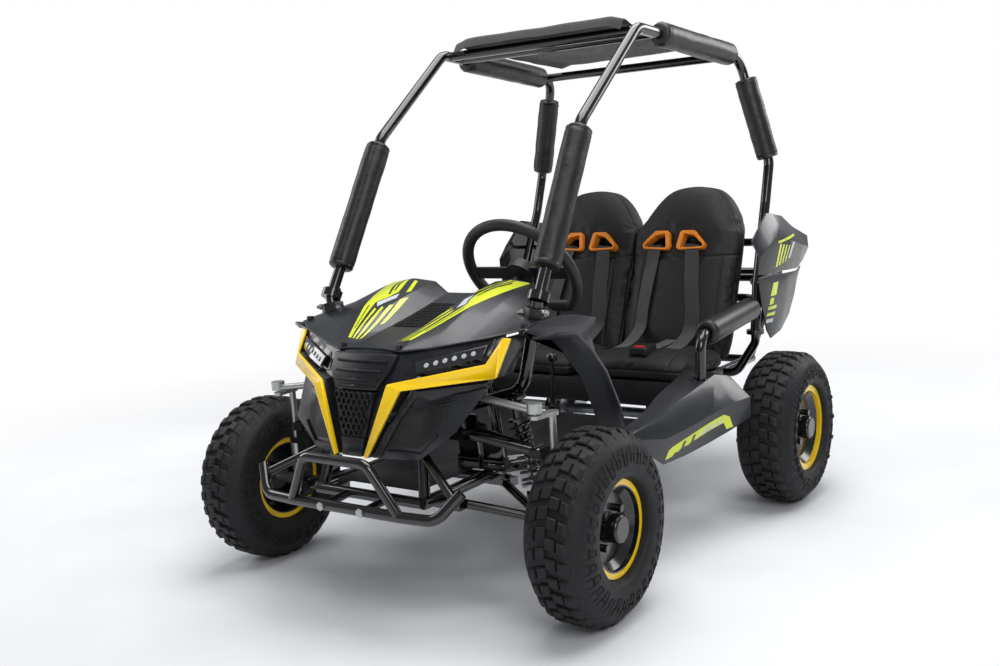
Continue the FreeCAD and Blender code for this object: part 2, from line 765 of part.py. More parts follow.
def pillar_collars():
    points = stub_points(1)
    way = toward(points[1], points[2])
    top = points[2] - way * 14.8
    side = way.cross(BACK).normalize()
    other = way.cross(side).normalize()
    corners = []
    for k in range(6):
        turn = math.radians(60 * k + 30)
        corners.append(top + side * (28 * math.cos(turn)) + other * (28 * math.sin(turn)))
    block = plate(corners, way * -40)
    block = on_hood(block.cut(rod(top + way, top - way * 60, FRAME_TUBE_D / 2 + SEAT_GAP)))
    return [block, mirrored(block)]


# Side and rear bodywork
def side_panel_grid():
    rows = (
        ((441, 262, 300), (452, 354, 240), (460, 450, 238), (470, 560, 242), (490, 640, 255),
         (520, 712, 277)),
        ((446, 256, 318), (462, 352, 300), (472, 450, 305), (484, 560, 315), (500, 640, 326),
         (520, 706, 330)),
        ((436, 236, 336), (446, 340, 344), (453, 446, 372), (455, 560, 386), (455, 640, 396),
         (470, 700, 382)),
        ((400, 236, 340), (400, 340, 350), (392, 446, 378), (382, 560, 392), (372, 640, 402),
         (372, 690, 398)))
    return [[spot(p) for p in row] for row in rows]


def side_panels():
    panel = moulding(side_panel_grid(), Vector(-PLASTIC, 0, -PLASTIC))
    arm = rod(at(OUTRIGGER_X - 8, OUTRIGGER_BACKS[1], OUTRIGGER_Z),
              at(OUTRIGGER_X - 4, ARMREST_FRONT, ARMREST_Z), CAGE_TUBE_D / 2 + 4)
    return both(panel.cut(arm))


def side_bolsters():
    bore = CAGE_TUBE_D / 2 - 1 + SOFT_GAP
    rear = at(HOOP_LOW[0] - 1, HOOP_LOW[1] - 14, ARMREST_Z + 6)
    front = at(OUTRIGGER_X - 4, ARMREST_FRONT, ARMREST_Z - 9)
    way = toward(front, rear)
    return both(pad(front + way * 44, rear - way * 46, bore))


REAR_PANEL_ROWS = (
    (
        ((414, 1010, 700), (420, 1109, 772), (416, 1235, 756), (414, 1330, 718), (412, 1468, 680)),
        ((438, 1002, 655), (448, 1105, 700), (448, 1225, 686), (444, 1330, 664), (430, 1425, 648)),
        ((434, 999, 606), (444, 1090, 606), (444, 1200, 600), (438, 1300, 596), (428, 1372, 610))),
    (
        ((434, 1001, 598), (441, 1090, 598), (441, 1200, 592), (436, 1300, 588), (428, 1358, 598)),
        ((430, 1030, 520), (438, 1095, 505), (438, 1190, 508), (434, 1280, 520), (428, 1322, 560)),
        ((424, 1080, 440), (428, 1100, 414), (428, 1180, 426), (426, 1252, 462), (424, 1290, 510))))


def rear_panels():
    panels = []
    for rows in REAR_PANEL_ROWS:
        grid = [[spot(p) for p in row] for row in rows]
        panels.append(moulding(grid, LEFT * -PLASTIC))
    return Part.makeCompound(panels + [mirrored(p) for p in panels])


def within_rear_panels(shape):
    """Trims a stay to end at the inner faces of the left rear panels."""
    for rows in REAR_PANEL_ROWS:
        grid = [[spot(p) - LEFT * (PLASTIC + SEAT_GAP) for p in row] for row in rows]
        shape = shape.cut(moulding(grid, LEFT * 60))
    return shape


# Seat
def seat_base():
    z = SEAT_RAIL_Z + FRAME_TUBE_D / 2 + SEAT_GAP
    half = SEAT_HALF - 6
    tray = box((-half, half), (CUSHION_FRONT + 4, CUSHION_REAR), (z, CUSHION_LOW_Z - SOFT_GAP))
    front = prism(((CUSHION_FRONT - 8, 288), (CUSHION_FRONT - 4, 288),
                   (CUSHION_FRONT + 8, CUSHION_LOW_Z - SOFT_GAP),
                   (CUSHION_FRONT + 4, CUSHION_LOW_Z - SOFT_GAP)), -half, half)
    rails = [bar(lower_rail(side), FRAME_TUBE_D / 2 + SEAT_GAP) for side in (-1, 1)]
    return tray.fuse(front).cut(Part.makeCompound(rails))


def arched(x0, x1, low, high, crown, level):
    """A closed outline with a flat base, bowed sides and a crowned top."""
    middle = (x0 + x1) / 2
    tuck = 5.0
    a, b, c, d = level(x0 + tuck, low), level(x1 - tuck, low), level(x1 - 6, high), level(x0 + 6, high)
    return Part.Wire([
        Part.LineSegment(a, b).toShape(),
        Part.Arc(b, level(x1, (low + high) / 2), c).toShape(),
        Part.Arc(c, level(middle, high + crown), d).toShape(),
        Part.Arc(d, level(x0, (low + high) / 2), a).toShape()])


def cushion_half():
    sections = []
    depth = CUSHION_REAR - CUSHION_FRONT
    for share, high, crown, inset in ((0.0, -22, 4, 16), (0.07, -6, 10, 5), (0.35, 0, 1.0 * CUSHION_CROWN, 0),
                                      (0.75, -4, CUSHION_CROWN, 0), (1.0, -14, 8, 6)):
        back = CUSHION_FRONT + depth * share

        def level(x, z, back=back):
            return at(x, back, z)

        sections.append(arched(SEAT_SEAM + inset, SEAT_HALF - inset, CUSHION_LOW_Z,
                               CUSHION_TOP_Z + high, crown, level))
    return Part.makeLoft(sections, True, False)


def backrest_half():
    sections = []
    for z, x0, x1, crown, thin in ((BACK_FOOT_Z, 5, 336, 12, 16), (440, 5, 345, 26, 4),
                                   (600, 5, 345, BACK_CROWN, 0), (720, 6, 338, BACK_CROWN, 0),
                                   (790, 16, 318, 30, 6), (834, 52, 288, 20, 18),
                                   (852, 104, 240, 10, 30)):
        front = back_front(z)

        def level(x, depth, z=z, front=front):
            return at(x, front + BACK_THICK - depth, z)

        sections.append(arched(x0, x1, thin / 2, BACK_THICK - thin / 2, crown, level))
    return Part.makeLoft(sections, True, False)


def hole_outline(x, grow):
    """A rounded triangle in the plane of the backrest, as (across, up) pairs."""
    lean = math.atan(BACK_LEAN)
    up = Vector(0, math.sin(lean), math.cos(lean))
    centre = at(x, back_front(HOLE_Z) - BACK_CROWN * 0.8, HOLE_Z)
    flip = -1 if x < 140 else 1
    corners = [Vector(flip * 44, 0, 0) - up * 16, Vector(-flip * 44, 0, 0) - up * 20,
               Vector(-flip * 36, 0, 0) + up * 26, Vector(flip * 2, 0, 0) + up * 26]
    points = [centre + c + c.normalize() * grow for c in corners]
    return points


def hole_tool(x, grow, near, far):
    lean = math.atan(BACK_LEAN)
    normal = Vector(0, math.cos(lean), -math.sin(lean))
    points = [p - normal * near for p in hole_outline(x, grow)]
    block = plate(points, normal * (near + far))
    straight = [e for e in block.Edges if e.Length > near + far - 0.01 and abs(
        toward(e.Vertexes[0].Point, e.Vertexes[1].Point).dot(normal)) > 0.999]
    return block.makeFillet(9 + grow / 2, straight)


def seat_cushions():
    back = backrest_half()
    for x in HOLE_X:
        back = back.cut(hole_tool(x, SOFT_GAP, 60, 160))
    parts = [cushion_half(), back]
    return Part.makeCompound(parts + [mirrored(p) for p in parts])


def belt_hole_rims():
    rims = [hole_tool(x, 0, 10, 14).cut(hole_tool(x, -12, 20, 30)) for x in HOLE_X]
    return Part.makeCompound(rims + [mirrored(r) for r in rims])


def over_back(x, z, lift):
    """A point in front of the backrest's crowned face."""
    crown = BACK_CROWN * max(0.0, 1 - ((x - 175) / 172) ** 2)
    return at(x, back_front(z) - crown - lift, z)


def over_cushion(x, back, lift):
    crown = CUSHION_CROWN * max(0.0, 1 - ((x - 175) / 172) ** 2)
    return at(x, back, CUSHION_TOP_Z + crown + lift)


def strap(rows):
    return moulding(rows, Vector(0, -1.2, 1.6))


def seat_belts():
    parts = []
    for top, foot in ((HOLE_X[0], 74.0), (HOLE_X[1], 238.0)):
        rows = []
        for edge in (-STRAP_WIDTH / 2, STRAP_WIDTH / 2):
            x = top + edge
            rows.append([at(x, 1192, 682), at(x, 1187, 673), at(x, 1174.4, 669.2),
                         at(x, 1150, 667), at(x, 1069, 687.5), at(x, 1063.5, 683),
                         over_back(top * 0.7 + foot * 0.3 + edge, 620, 3),
                         over_back(foot + edge, 500, 3), over_back(foot + edge, 450, 8),
                         over_cushion(foot + edge, 900, 8), over_cushion(foot + edge, 850, 2)])
        parts.append(strap(rows))
    lap = [[over_cushion(x, back, lift) for back, lift in
            ((BUCKLE_BACK + 70 + 1.6, 3), (850, 2), (945, 3))] for x in (172, 210)]
    parts.append(strap(lap))
    return Part.makeCompound(parts + [mirrored(p) for p in parts])


def buckle_place(side):
    return at(side * BUCKLE_X, BUCKLE_BACK, CUSHION_TOP_Z + CUSHION_CROWN + 2.2)


def buckle_bodies():
    parts = []
    for side in (-1, 1):
        p = buckle_place(side)
        body = Part.makeBox(52, 70, 22, p + Vector(-26, 0, 0))
        body = body.makeFillet(5, body.Edges)
        body = body.cut(Part.makeBox(30, 16, 12, p + Vector(-15, 8, 12)))
        parts.append(body)
    return Part.makeCompound(parts)


def buckle_button(side):
    p = buckle_place(side)
    g = SEAT_GAP
    return Part.makeBox(30 - 2 * g, 16 - 2 * g, 8.5, p + Vector(-15 + g, 8 + g, 16))


# Steering
def steering_wheel():
    """Built flat, with its flat side at the bottom, then tipped into place."""
    rim = Part.makeTorus(STEER_RIM_R, STEER_GRIP_R)
    flat = 0.74 * STEER_RIM_R
    half = math.sqrt(STEER_RIM_R ** 2 - flat ** 2)
    size = 4 * STEER_RIM_R
    rim = rim.common(Part.makeBox(size, size, 60, Vector(-size / 2, -flat, -30)))
    ends = [Vector(s * half, -flat, 0) for s in (-1, 1)]
    parts = [rim, rod(ends[0], ends[1], STEER_GRIP_R)]
    parts += [Part.makeSphere(STEER_GRIP_R, end) for end in ends]
    parts.append(rod(Vector(0, 0, -16), Vector(0, 0, 10), 36))
    arm_half = 17
    parts.append(Part.makeBox(2 * STEER_RIM_R - 8, 2 * arm_half, 5,
                              Vector(-STEER_RIM_R + 4, -arm_half, -5)))
    parts.append(Part.makeBox(2 * arm_half, flat, 5, Vector(-arm_half, -flat, -5)))
    wheel = fuse(parts).cut(rod(Vector(0, 0, -20), Vector(0, 0, 4), COLUMN_R))
    up = math.radians(COLUMN_TILT)
    axis = Vector(0, math.cos(up), math.sin(up))
    top = Vector(0, -math.sin(up), math.cos(up))
    turn = FreeCAD.Rotation(LEFT * -1, top, axis, "XYZ")
    wheel.Placement = FreeCAD.Placement(spot(WHEEL_HUB), turn)
    return wheel


def steering_column():
    hub = spot(WHEEL_HUB)
    way = column_way()
    return rod(hub - way * 4, hub + way * COLUMN_LENGTH, COLUMN_R)


def steering_rack():
    back, z = TIE_INNER[1], TIE_INNER[2]
    end = TIE_INNER[0] - 13
    parts = [rod(at(-end, back, z), at(end, back, z), RACK_R)]
    for side in (-1, 1):
        for s in (-1, 1):
            near = 9.0 + SEAT_GAP
            parts.append(box((side * (end - 6), side * (end + 24)),
                             (back + s * near, back + s * (near + 4)), (z - 10, z + 10)))
        parts.append(box((side * (end - 6), side * (end + 1)), (back - near, back + near),
                         (z - 10, z + 10)))
        x = side * TIE_INNER[0]
        parts.append(rod(at(x, back - near - 2, z), at(x, back + near + 2, z), 5))
    rack = fuse(parts)
    hub = spot(WHEEL_HUB)
    return rack.cut(rod(hub, hub + column_way() * (COLUMN_LENGTH + 3), COLUMN_R + 0.5))


def tie_rod(side):
    inner = spot(TIE_INNER, side)
    ball = spot(TIE_BALL, side)
    way = toward(inner, ball)
    eye = rod(inner - BACK * 9, inner + BACK * 9, 10)
    shaft = rod(inner + way * 8, ball - way * (BALL_CAP_R - 3), TIE_ROD_R)
    cap = rod(ball - UP * 4.5, ball + UP * 16, BALL_CAP_R)
    body = fuse([eye, shaft, cap])
    body = body.cut(rod(inner - BACK * 12, inner + BACK * 12, 5 + RUN_GAP))
    return body.cut(rod(ball - UP * 20, ball + UP * 10, BALL_ROOM_R))


# Front suspension
def arm(side, inner_z, backs, seat=False):
    """An A-shaped arm: two pivot eyes, two legs and the outer eye."""
    outer = arm_outer(inner_z, side)
    eye = EYE_LENGTH / 2
    parts = [rod(outer - BACK * eye, outer + BACK * eye, EYE_D / 2)]
    bores = [rod(outer - BACK * (eye + 5), outer + BACK * (eye + 5), PIN_R + RUN_GAP)]
    for end, back in zip((-1, 1), backs):
        inner = at(side * ARM_INNER_X, back, inner_z)
        for away in (-1, 1):
            near = LUG_T / 2 + SEAT_GAP
            parts.append(rod(inner + BACK * (away * near), inner + BACK * (away * (near + 12)),
                             EYE_D / 2 - 2))
        bores.append(rod(inner - BACK * 30, inner + BACK * 30, PIN_R + RUN_GAP))
        reach = toward(inner, outer)
        parts.append(rod(inner + BACK * (-end * 9) + reach * 15,
                         outer + BACK * (end * 2) - reach * 6, ARM_TUBE_D / 2))
        parts.append(fork(side, back, inner_z))
    if seat:
        foot = spot(SHOCK_FOOT, side)
        for s in (-1, 1):
            parts.append(box((foot.x - 11, foot.x + 11),
                             (SHOCK_FOOT[1] + s * 12, SHOCK_FOOT[1] + s * 16),
                             (SHOCK_FOOT[2] - 24, SHOCK_FOOT[2] + 10)))
        parts.append(rod(foot - BACK * 16, foot + BACK * 16, 5))
    body = fuse(parts)
    return body.cut(Part.makeCompound(bores))


def fork(side, back, z):
    """The yoke that ties the two cheeks of a pivot to their leg."""
    near = LUG_T / 2 + SEAT_GAP
    x0 = ARM_INNER_X + 14
    cheeks = [box((side * (ARM_INNER_X + 4), side * (x0 + 10)),
                  (back + a * near, back + a * (near + 12)), (z - 11, z + 8)) for a in (-1, 1)]
    bridge = box((side * x0, side * (x0 + 10)), (back - near - 12, back + near + 12), (z - 11, z + 8))
    return fuse(cheeks + [bridge])


def carrier(side):
    """The upright that both arms carry, with the ears of the kingpin."""
    face_x = KINGPIN_X - BARREL_R - 3
    parts = [box((side * (face_x - WEB_T), side * face_x), (-16, 16),
                 (EAR_LOW_Z, UPPER_INNER_Z - ARM_DROP + 13))]
    for inner_z in (LOWER_INNER_Z, UPPER_INNER_Z):
        pivot = arm_outer(inner_z, side)
        near = EYE_LENGTH / 2 + SEAT_GAP
        z = inner_z - ARM_DROP
        for s in (-1, 1):
            parts.append(box((side * (ARM_OUTER_X - 7), side * face_x),
                             (s * near, s * (near + LUG_T)), (z - 9, z + 9)))
        parts.append(box((side * (face_x - WEB_T), side * face_x), (-near - LUG_T, near + LUG_T),
                         (z - 10, z + 10)))
        parts.append(rod(pivot - BACK * (near + 1), pivot + BACK * (near + 1), PIN_R))
    bores = []
    for low in (EAR_LOW_Z, EAR_HIGH_Z):
        centre = at(side * KINGPIN_X, 0, low)
        parts.append(rod(centre, centre + UP * EAR_T, 16))
        parts.append(box((side * (face_x - 2), side * KINGPIN_X), (-16, 16), (low, low + EAR_T)))
        bores.append(rod(centre - UP * 5, centre + UP * (EAR_T + 5), KINGPIN_R + RUN_GAP))
    return fuse(parts).cut(Part.makeCompound(bores))


def knuckle(side):
    centre = at(side * KINGPIN_X, 0, 0)
    low = EAR_LOW_Z + EAR_T + SEAT_GAP
    high = EAR_HIGH_Z - SEAT_GAP
    ball = spot(TIE_BALL, side)
    arm_top = STEER_ARM_Z + STEER_ARM_T
    tip = FRONT_WHEEL_X + FRONT_BEAD_HALF - DISC_INSET + HUB_PROUD - 1
    parts = [rod(centre + UP * low, centre + UP * high, BARREL_R),
             rod(centre + UP * (EAR_LOW_Z - 5), centre + UP * arm_top, KINGPIN_R),
             rod(centre + UP * AXLE_Z, at(side * tip, 0, AXLE_Z), SPINDLE_R),
             rod(centre + UP * AXLE_Z, at(side * 416, 0, AXLE_Z), BARREL_R - 1),
             rod(centre + UP * STEER_ARM_Z, centre + UP * arm_top, 14),
             rod(Vector(ball.x, ball.y, STEER_ARM_Z), Vector(ball.x, ball.y, arm_top), 11),
             rod(Vector(ball.x, ball.y, arm_top - 2), Vector(ball.x, ball.y, arm_top + 11), STUD_R)]
    inboard = Vector(11, 0, 0)
    start = Vector(centre.x, centre.y, STEER_ARM_Z)
    end = Vector(ball.x, ball.y, STEER_ARM_Z)
    parts.append(plate([start - inboard, start + inboard, end + inboard, end - inboard],
                       UP * STEER_ARM_T))
    return fuse(parts)


def shock_way(side):
    return toward(spot(SHOCK_FOOT, side), spot(SHOCK_TOP, side))


def shock_body(side):
    top = spot(SHOCK_TOP, side)
    foot = spot(SHOCK_FOOT, side)
    way = shock_way(side)
    eye = rod(top - BACK * 9, top + BACK * 9, SHOCK_EYE_R)
    collar = foot + way * (SPRING_HIGH + SPRING_WIRE_R + SEAT_GAP)
    body = fuse([eye, rod(foot + way * 92, top - way * 8, SHOCK_BODY_R),
                 rod(collar, collar + way * 6, SPRING_COIL_R + 4)])
    body = body.cut(rod(foot + way * 80, top - way * 22, SHOCK_ROD_R + RUN_GAP))
    return body.cut(rod(top - BACK * 12, top + BACK * 12, PIN_R + RUN_GAP))


def shock_rod(side):
    foot = spot(SHOCK_FOOT, side)
    way = shock_way(side)
    seat = foot + way * (SPRING_LOW - SPRING_WIRE_R - SEAT_GAP)
    parts = [rod(foot - BACK * 9, foot + BACK * 9, SHOCK_EYE_R),
             rod(foot + way * 8, foot + way * 150, SHOCK_ROD_R),
             rod(seat - way * 5, seat, SPRING_COIL_R + 4)]
    return fuse(parts).cut(rod(foot - BACK * 12, foot + BACK * 12, 5 + SHOCK_FOOT_ROOM))


def shock_spring(side):
    """One unbroken coil of wire, swept along half-turn arcs."""
    foot = spot(SHOCK_FOOT, side)
    way = shock_way(side)
    start = foot + way * SPRING_LOW
    length = SPRING_HIGH - SPRING_LOW
    across = BACK
    other = way.cross(across).normalize()
    edges = []
    steps = 4 * SPRING_TURNS

    def coil(turn):
        angle = 2 * math.pi * turn
        spoke = across * math.cos(angle) + other * math.sin(angle)
        return start + spoke * SPRING_COIL_R + way * (length * turn / SPRING_TURNS)

    for k in range(steps):
        a, b = k / 4, (k + 1) / 4
        edges.append(Part.Arc(coil(a), coil((a + b) / 2), coil(b)).toShape())
    if side > 0:
        pitch = (coil(1) - coil(0)).Length
        print("least gap between turns", round(pitch - 2 * SPRING_WIRE_R, 2))
    path = Part.Wire(edges)
    tangent = path.Edges[0].tangentAt(path.Edges[0].FirstParameter)
    circle = Part.Wire(Part.makeCircle(SPRING_WIRE_R, coil(0), tangent))
    return path.makePipeShell([circle], True, False)


# Wheels
def tyre(x, width, bead_r, base):
    """A hollow tyre casing with rounded shoulders."""
    out = TYRE_OD / 2
    h = width / 2
    lip = bead_r + RIM_LIP + 2
    outer = [(-base, bead_r), (-base, lip), (-h + 6, lip + 8), (-h, bead_r + 50),
             (-h + 6, out - 26), (-h + 24, out - 8), (-h / 2, out - 1.5), (0, out)]
    w = TYRE_WALL
    inner = [(0, out - 2 * w), (-h / 2, out - 2 * w - 1), (-h + 24, out - 2 * w - 6),
             (-h + 6 + w, out - 34), (-h + w, bead_r + 48), (-h + 8 + w, lip + 14),
             (-base + w, lip + 6), (-base + w, bead_r)]
    profile = outer + [(-a, r) for a, r in reversed(outer[:-1])]
    profile += [(-a, r) for a, r in reversed(inner)][:-1] + inner
    return turned(profile, at(x, 0, AXLE_Z), LEFT)


def rim(x, bead_r, base, shaft_r, out):
    """A dished rim: barrel with lips, a disc set inboard and a hub tube."""
    w = RIM_WALL
    r = bead_r - SEAT_GAP
    lip = bead_r + RIM_LIP
    edge = base + 1
    disc = base - DISC_INSET
    hub = 32.0
    bore = shaft_r + RUN_GAP
    profile = [(-edge - w, lip), (-edge - w, r - w), (disc - 4, r - w - 10), (disc - 4, hub),
               (disc - 44, hub), (disc - 44, bore), (disc + HUB_PROUD, bore),
               (disc + HUB_PROUD, hub), (disc, hub), (disc, r - w - 14), (edge - 6, r - w),
               (edge + w, r - w), (edge + w, lip), (edge, lip), (edge, r), (-edge, r),
               (-edge, lip)]
    return turned([(out * a, q) for a, q in profile], at(x, 0, AXLE_Z), LEFT)


def hub_trim(x, base, out):
    """The wheel's cap and its lug nuts."""
    disc = x + out * (base - DISC_INSET)
    centre = at(disc + out * (HUB_PROUD + SEAT_GAP), 0, AXLE_Z)
    cap = rod(centre, centre + LEFT * (out * 26), 30)
    end = [e for e in cap.Edges if abs(e.BoundBox.Center.x - centre.x) > 25 and e.Closed]
    cap = cap.makeFillet(7, end)
    parts = [cap]
    for k in range(LUG_COUNT):
        turn = math.radians(360 / LUG_COUNT * k + 45)
        p = at(disc + out * SEAT_GAP, LUG_CIRCLE_R * math.cos(turn),
               AXLE_Z + LUG_CIRCLE_R * math.sin(turn))
        parts.append(rod(p, p + LEFT * (out * 16), LUG_R))
    return parts


def at_axle(shape, back):
    moved = shape.copy()
    moved.translate(BACK * back)
    return moved


def front_tyre(side):
    return tyre(side * FRONT_WHEEL_X, FRONT_TYRE_W, FRONT_BEAD_R, FRONT_BEAD_HALF)


def front_wheel(side):
    x = side * FRONT_WHEEL_X
    whole = rim(x, FRONT_BEAD_R, FRONT_BEAD_HALF, SPINDLE_R, side)
    return Part.makeCompound([whole] + hub_trim(x, FRONT_BEAD_HALF, side))


def rear_wheels():
    parts = []
    for side in (-1, 1):
        x = side * REAR_WHEEL_X
        parts.append(rim(x, REAR_BEAD_R, REAR_BEAD_HALF, AXLE_R, side))
        parts += hub_trim(x, REAR_BEAD_HALF, side)
    return at_axle(Part.makeCompound(parts), WHEELBASE)


def rear_tyres():
    tyres = [tyre(side * REAR_WHEEL_X, REAR_TYRE_W, REAR_BEAD_R, REAR_BEAD_HALF)
             for side in (-1, 1)]
    return at_axle(Part.makeCompound(tyres), WHEELBASE)


# Drive
def rear_axle():
    end = REAR_WHEEL_X + REAR_BEAD_HALF - DISC_INSET + HUB_PROUD - 1
    shaft = rod(at(-end, WHEELBASE, AXLE_Z), at(end, WHEELBASE, AXLE_Z), AXLE_R)
    sprocket = rod(at(SPROCKET_X - 3, WHEELBASE, AXLE_Z), at(SPROCKET_X + 3, WHEELBASE, AXLE_Z),
                   SPROCKET_R)
    hub = rod(at(SPROCKET_X - 20, WHEELBASE, AXLE_Z), at(SPROCKET_X + 3, WHEELBASE, AXLE_Z), 30)
    disc = rod(at(-SPROCKET_X - 2, WHEELBASE, AXLE_Z), at(-SPROCKET_X + 2, WHEELBASE, AXLE_Z), 80)
    disc_hub = rod(at(-SPROCKET_X - 2, WHEELBASE, AXLE_Z), at(-SPROCKET_X + 20, WHEELBASE, AXLE_Z), 30)
    return fuse([shaft, sprocket, hub, disc, disc_hub])


def brake_caliper():
    x = -SPROCKET_X
    back, z = WHEELBASE + 66, AXLE_Z + 36
    block = box((x - 24, x + 24), (back - 20, back + 32), (z - 26, z + 26))
    slot = rod(at(x - 2.6, WHEELBASE, AXLE_Z), at(x + 2.6, WHEELBASE, AXLE_Z), 83)
    top = SEAT_RAIL_Z - 6
    stay = box((x + 16, x + 24), (back - 4, back + 20), (z + 20, top))
    foot = box((x + 16, CASE_LOW_X - 5 - 2 * SEAT_GAP), (back - 4, back + 20), (top - 8, top))
    return fuse([block.cut(slot), stay, foot])


def belt_round(radius, drive_r):
    """The outline of a loop round both sprockets, as a face."""
    big = at(SPROCKET_X - CHAIN_T / 2, WHEELBASE, AXLE_Z)
    small = at(SPROCKET_X - CHAIN_T / 2, DRIVE_BACK, DRIVE_Z)
    way = small - big
    length = way.Length
    slope = math.atan2(way.z, way.y)
    spread = math.acos((radius - drive_r) / length)

    def on(centre, r, angle):
        return centre + Vector(0, math.cos(angle), math.sin(angle)) * r

    up, down = slope + spread, slope - spread
    edges = [Part.LineSegment(on(big, radius, up), on(small, drive_r, up)).toShape(),
             Part.Arc(on(small, drive_r, up), on(small, drive_r, slope),
                      on(small, drive_r, down)).toShape(),
             Part.LineSegment(on(small, drive_r, down), on(big, radius, down)).toShape(),
             Part.Arc(on(big, radius, down), on(big, radius, slope + math.pi),
                      on(big, radius, up)).toShape()]
    return Part.Face(Part.Wire(edges))


def drive_chain():
    inner = SPROCKET_R + SEAT_GAP
    drive = DRIVE_R + SEAT_GAP
    loop = belt_round(inner + CHAIN_DEPTH, drive + CHAIN_DEPTH).cut(belt_round(inner, drive))
    return loop.extrude(LEFT * CHAIN_T)


def drive_sprocket():
    disc = rod(at(SPROCKET_X - 3, DRIVE_BACK, DRIVE_Z), at(SPROCKET_X + 3, DRIVE_BACK, DRIVE_Z),
               DRIVE_R)
    shaft = rod(at(CASE_HIGH_X - 40, DRIVE_BACK, DRIVE_Z), at(SPROCKET_X + 8, DRIVE_BACK, DRIVE_Z), 9)
    return disc.fuse(shaft)


def engine():
    case = rod(at(CASE_LOW_X, DRIVE_BACK, DRIVE_Z), at(CASE_HIGH_X, DRIVE_BACK, DRIVE_Z), 60)
    gears = rod(at(CASE_LOW_X + 14, 1195, 288), at(CASE_HIGH_X - 14, 1195, 288), 50)
    sump = box((CASE_LOW_X + 22, CASE_HIGH_X - 22), (1085, 1215), (236, 300))
    body = fuse([case, gears, sump])
    body = body.cut(rod(at(CASE_HIGH_X - 45, DRIVE_BACK, DRIVE_Z),
                        at(CASE_HIGH_X + 5, DRIVE_BACK, DRIVE_Z), 9 + RUN_GAP))
    way = Vector(0, 0.42, 0.91).normalize()
    start = at(10, 1158, 330)
    barrel = rod(start, start + way * 150, 36)
    fins = [rod(start + way * (30 + 11 * k), start + way * (34 + 11 * k), 52) for k in range(8)]
    head = rod(start + way * 120, start + way * 162, 44)
    starter = rod(at(CASE_LOW_X - 40, DRIVE_BACK, DRIVE_Z - 2), at(CASE_LOW_X + 2, DRIVE_BACK,
                                                               DRIVE_Z - 2), 14)
    return fuse([body, barrel, head, starter] + fins)


def muffler():
    can = rod(at(-205, 1120, 420), at(-205, 1340, 420), 42)
    ends = [e for e in can.Edges if e.Closed]
    can = can.makeFillet(10, ends)
    pipe = bar([at(-205, 1180, 420), at(-120, 1222, 457), at(-34.8, 1217, 457)], 12, 30)
    tail = rod(at(-205, 1330, 420), at(-205, 1372, 420), 14)
    return fuse([can, pipe, tail])


def fuel_tank():
    low = LOOP_Z + CROSS_TUBE_D / 2 + SEAT_GAP
    tank = box((-150, 150), (LOOP_CROSS_BACK - 20, LOOP_BACK + 20), (low, low + 96))
    tank = tank.makeFillet(18, tank.Edges)
    cap = rod(at(60, 1300, low + 90), at(60, 1300, low + 114), 26)
    return tank.fuse(cap)


# Controls
def pedal(x):
    r = PEDAL_PIN_R
    z = PEDAL_PIVOT_Z
    half = PEDAL_WIDTH / 2
    sleeve = rod(at(x - half, PEDAL_BACK, z), at(x + half, PEDAL_BACK, z), 9)
    outline = ((PEDAL_BACK - 3, z), (PEDAL_BACK + 3, z), (PEDAL_BACK - 3, z + 45),
               (PEDAL_BACK - 9, z + 45))
    body = prism(outline, x - half, x + half)
    cap = rod(at(x, PEDAL_BACK - 3, z + 45), at(x, PEDAL_BACK - 9, z + 45), half)
    body = fuse([sleeve, body, cap])
    return body.cut(rod(at(x - half - 5, PEDAL_BACK, z), at(x + half + 5, PEDAL_BACK, z),
                        r + RUN_GAP))


def gear_lever():
    z = PEDAL_PIVOT_Z
    sleeve = rod(at(-10, LEVER_BACK, z), at(10, LEVER_BACK, z), 9)
    stick = rod(at(0, LEVER_BACK, z + 4), at(0, LEVER_BACK, LEVER_TOP_Z - 10), 5)
    knob = Part.makeSphere(15, at(0, LEVER_BACK, LEVER_TOP_Z))
    body = fuse([sleeve, stick, knob])
    return body.cut(rod(at(-15, LEVER_BACK, z), at(15, LEVER_BACK, z), PEDAL_PIN_R + RUN_GAP))


def bolt(place, way, radius=6.0, height=5.0):
    way = way.normalize()
    start = place + way * SEAT_GAP
    side = way.cross(Vector(0.3, 0.5, 0.81)).normalize()
    other = way.cross(side)
    corners = []
    for k in range(6):
        turn = math.radians(60 * k)
        corners.append(start + side * (radius * math.cos(turn)) + other * (radius * math.sin(turn)))
    return plate(corners, way * height)


def collars_and_bolts():
    parts = [bolt(at(x, BUMPER_FRONT - BUMPER_TUBE_D / 2, BUMPER_Z), BACK * -1, 10, 4)
             for x in (-56, 56)]
    way = pillar_way(1)
    base = spot(PILLAR_BASE)
    flange = [bolt(base + way * FLANGE_T + LEFT * (s * 19.7), way, 5) for s in (-1, 1)]
    hood_bolts = []
    for line, share in ((HOOD_LINES[2], 0.03), (HOOD_LINES[6], 0.12)):
        here = hood_point(line, share)
        hood_bolts.append(on_hood(bolt(here + Vector(-10, 0, -10), UP, 9, 16)))
    pieces = flange + hood_bolts
    return Part.makeCompound(pillar_collars() + parts + pieces + [mirrored(p) for p in pieces])


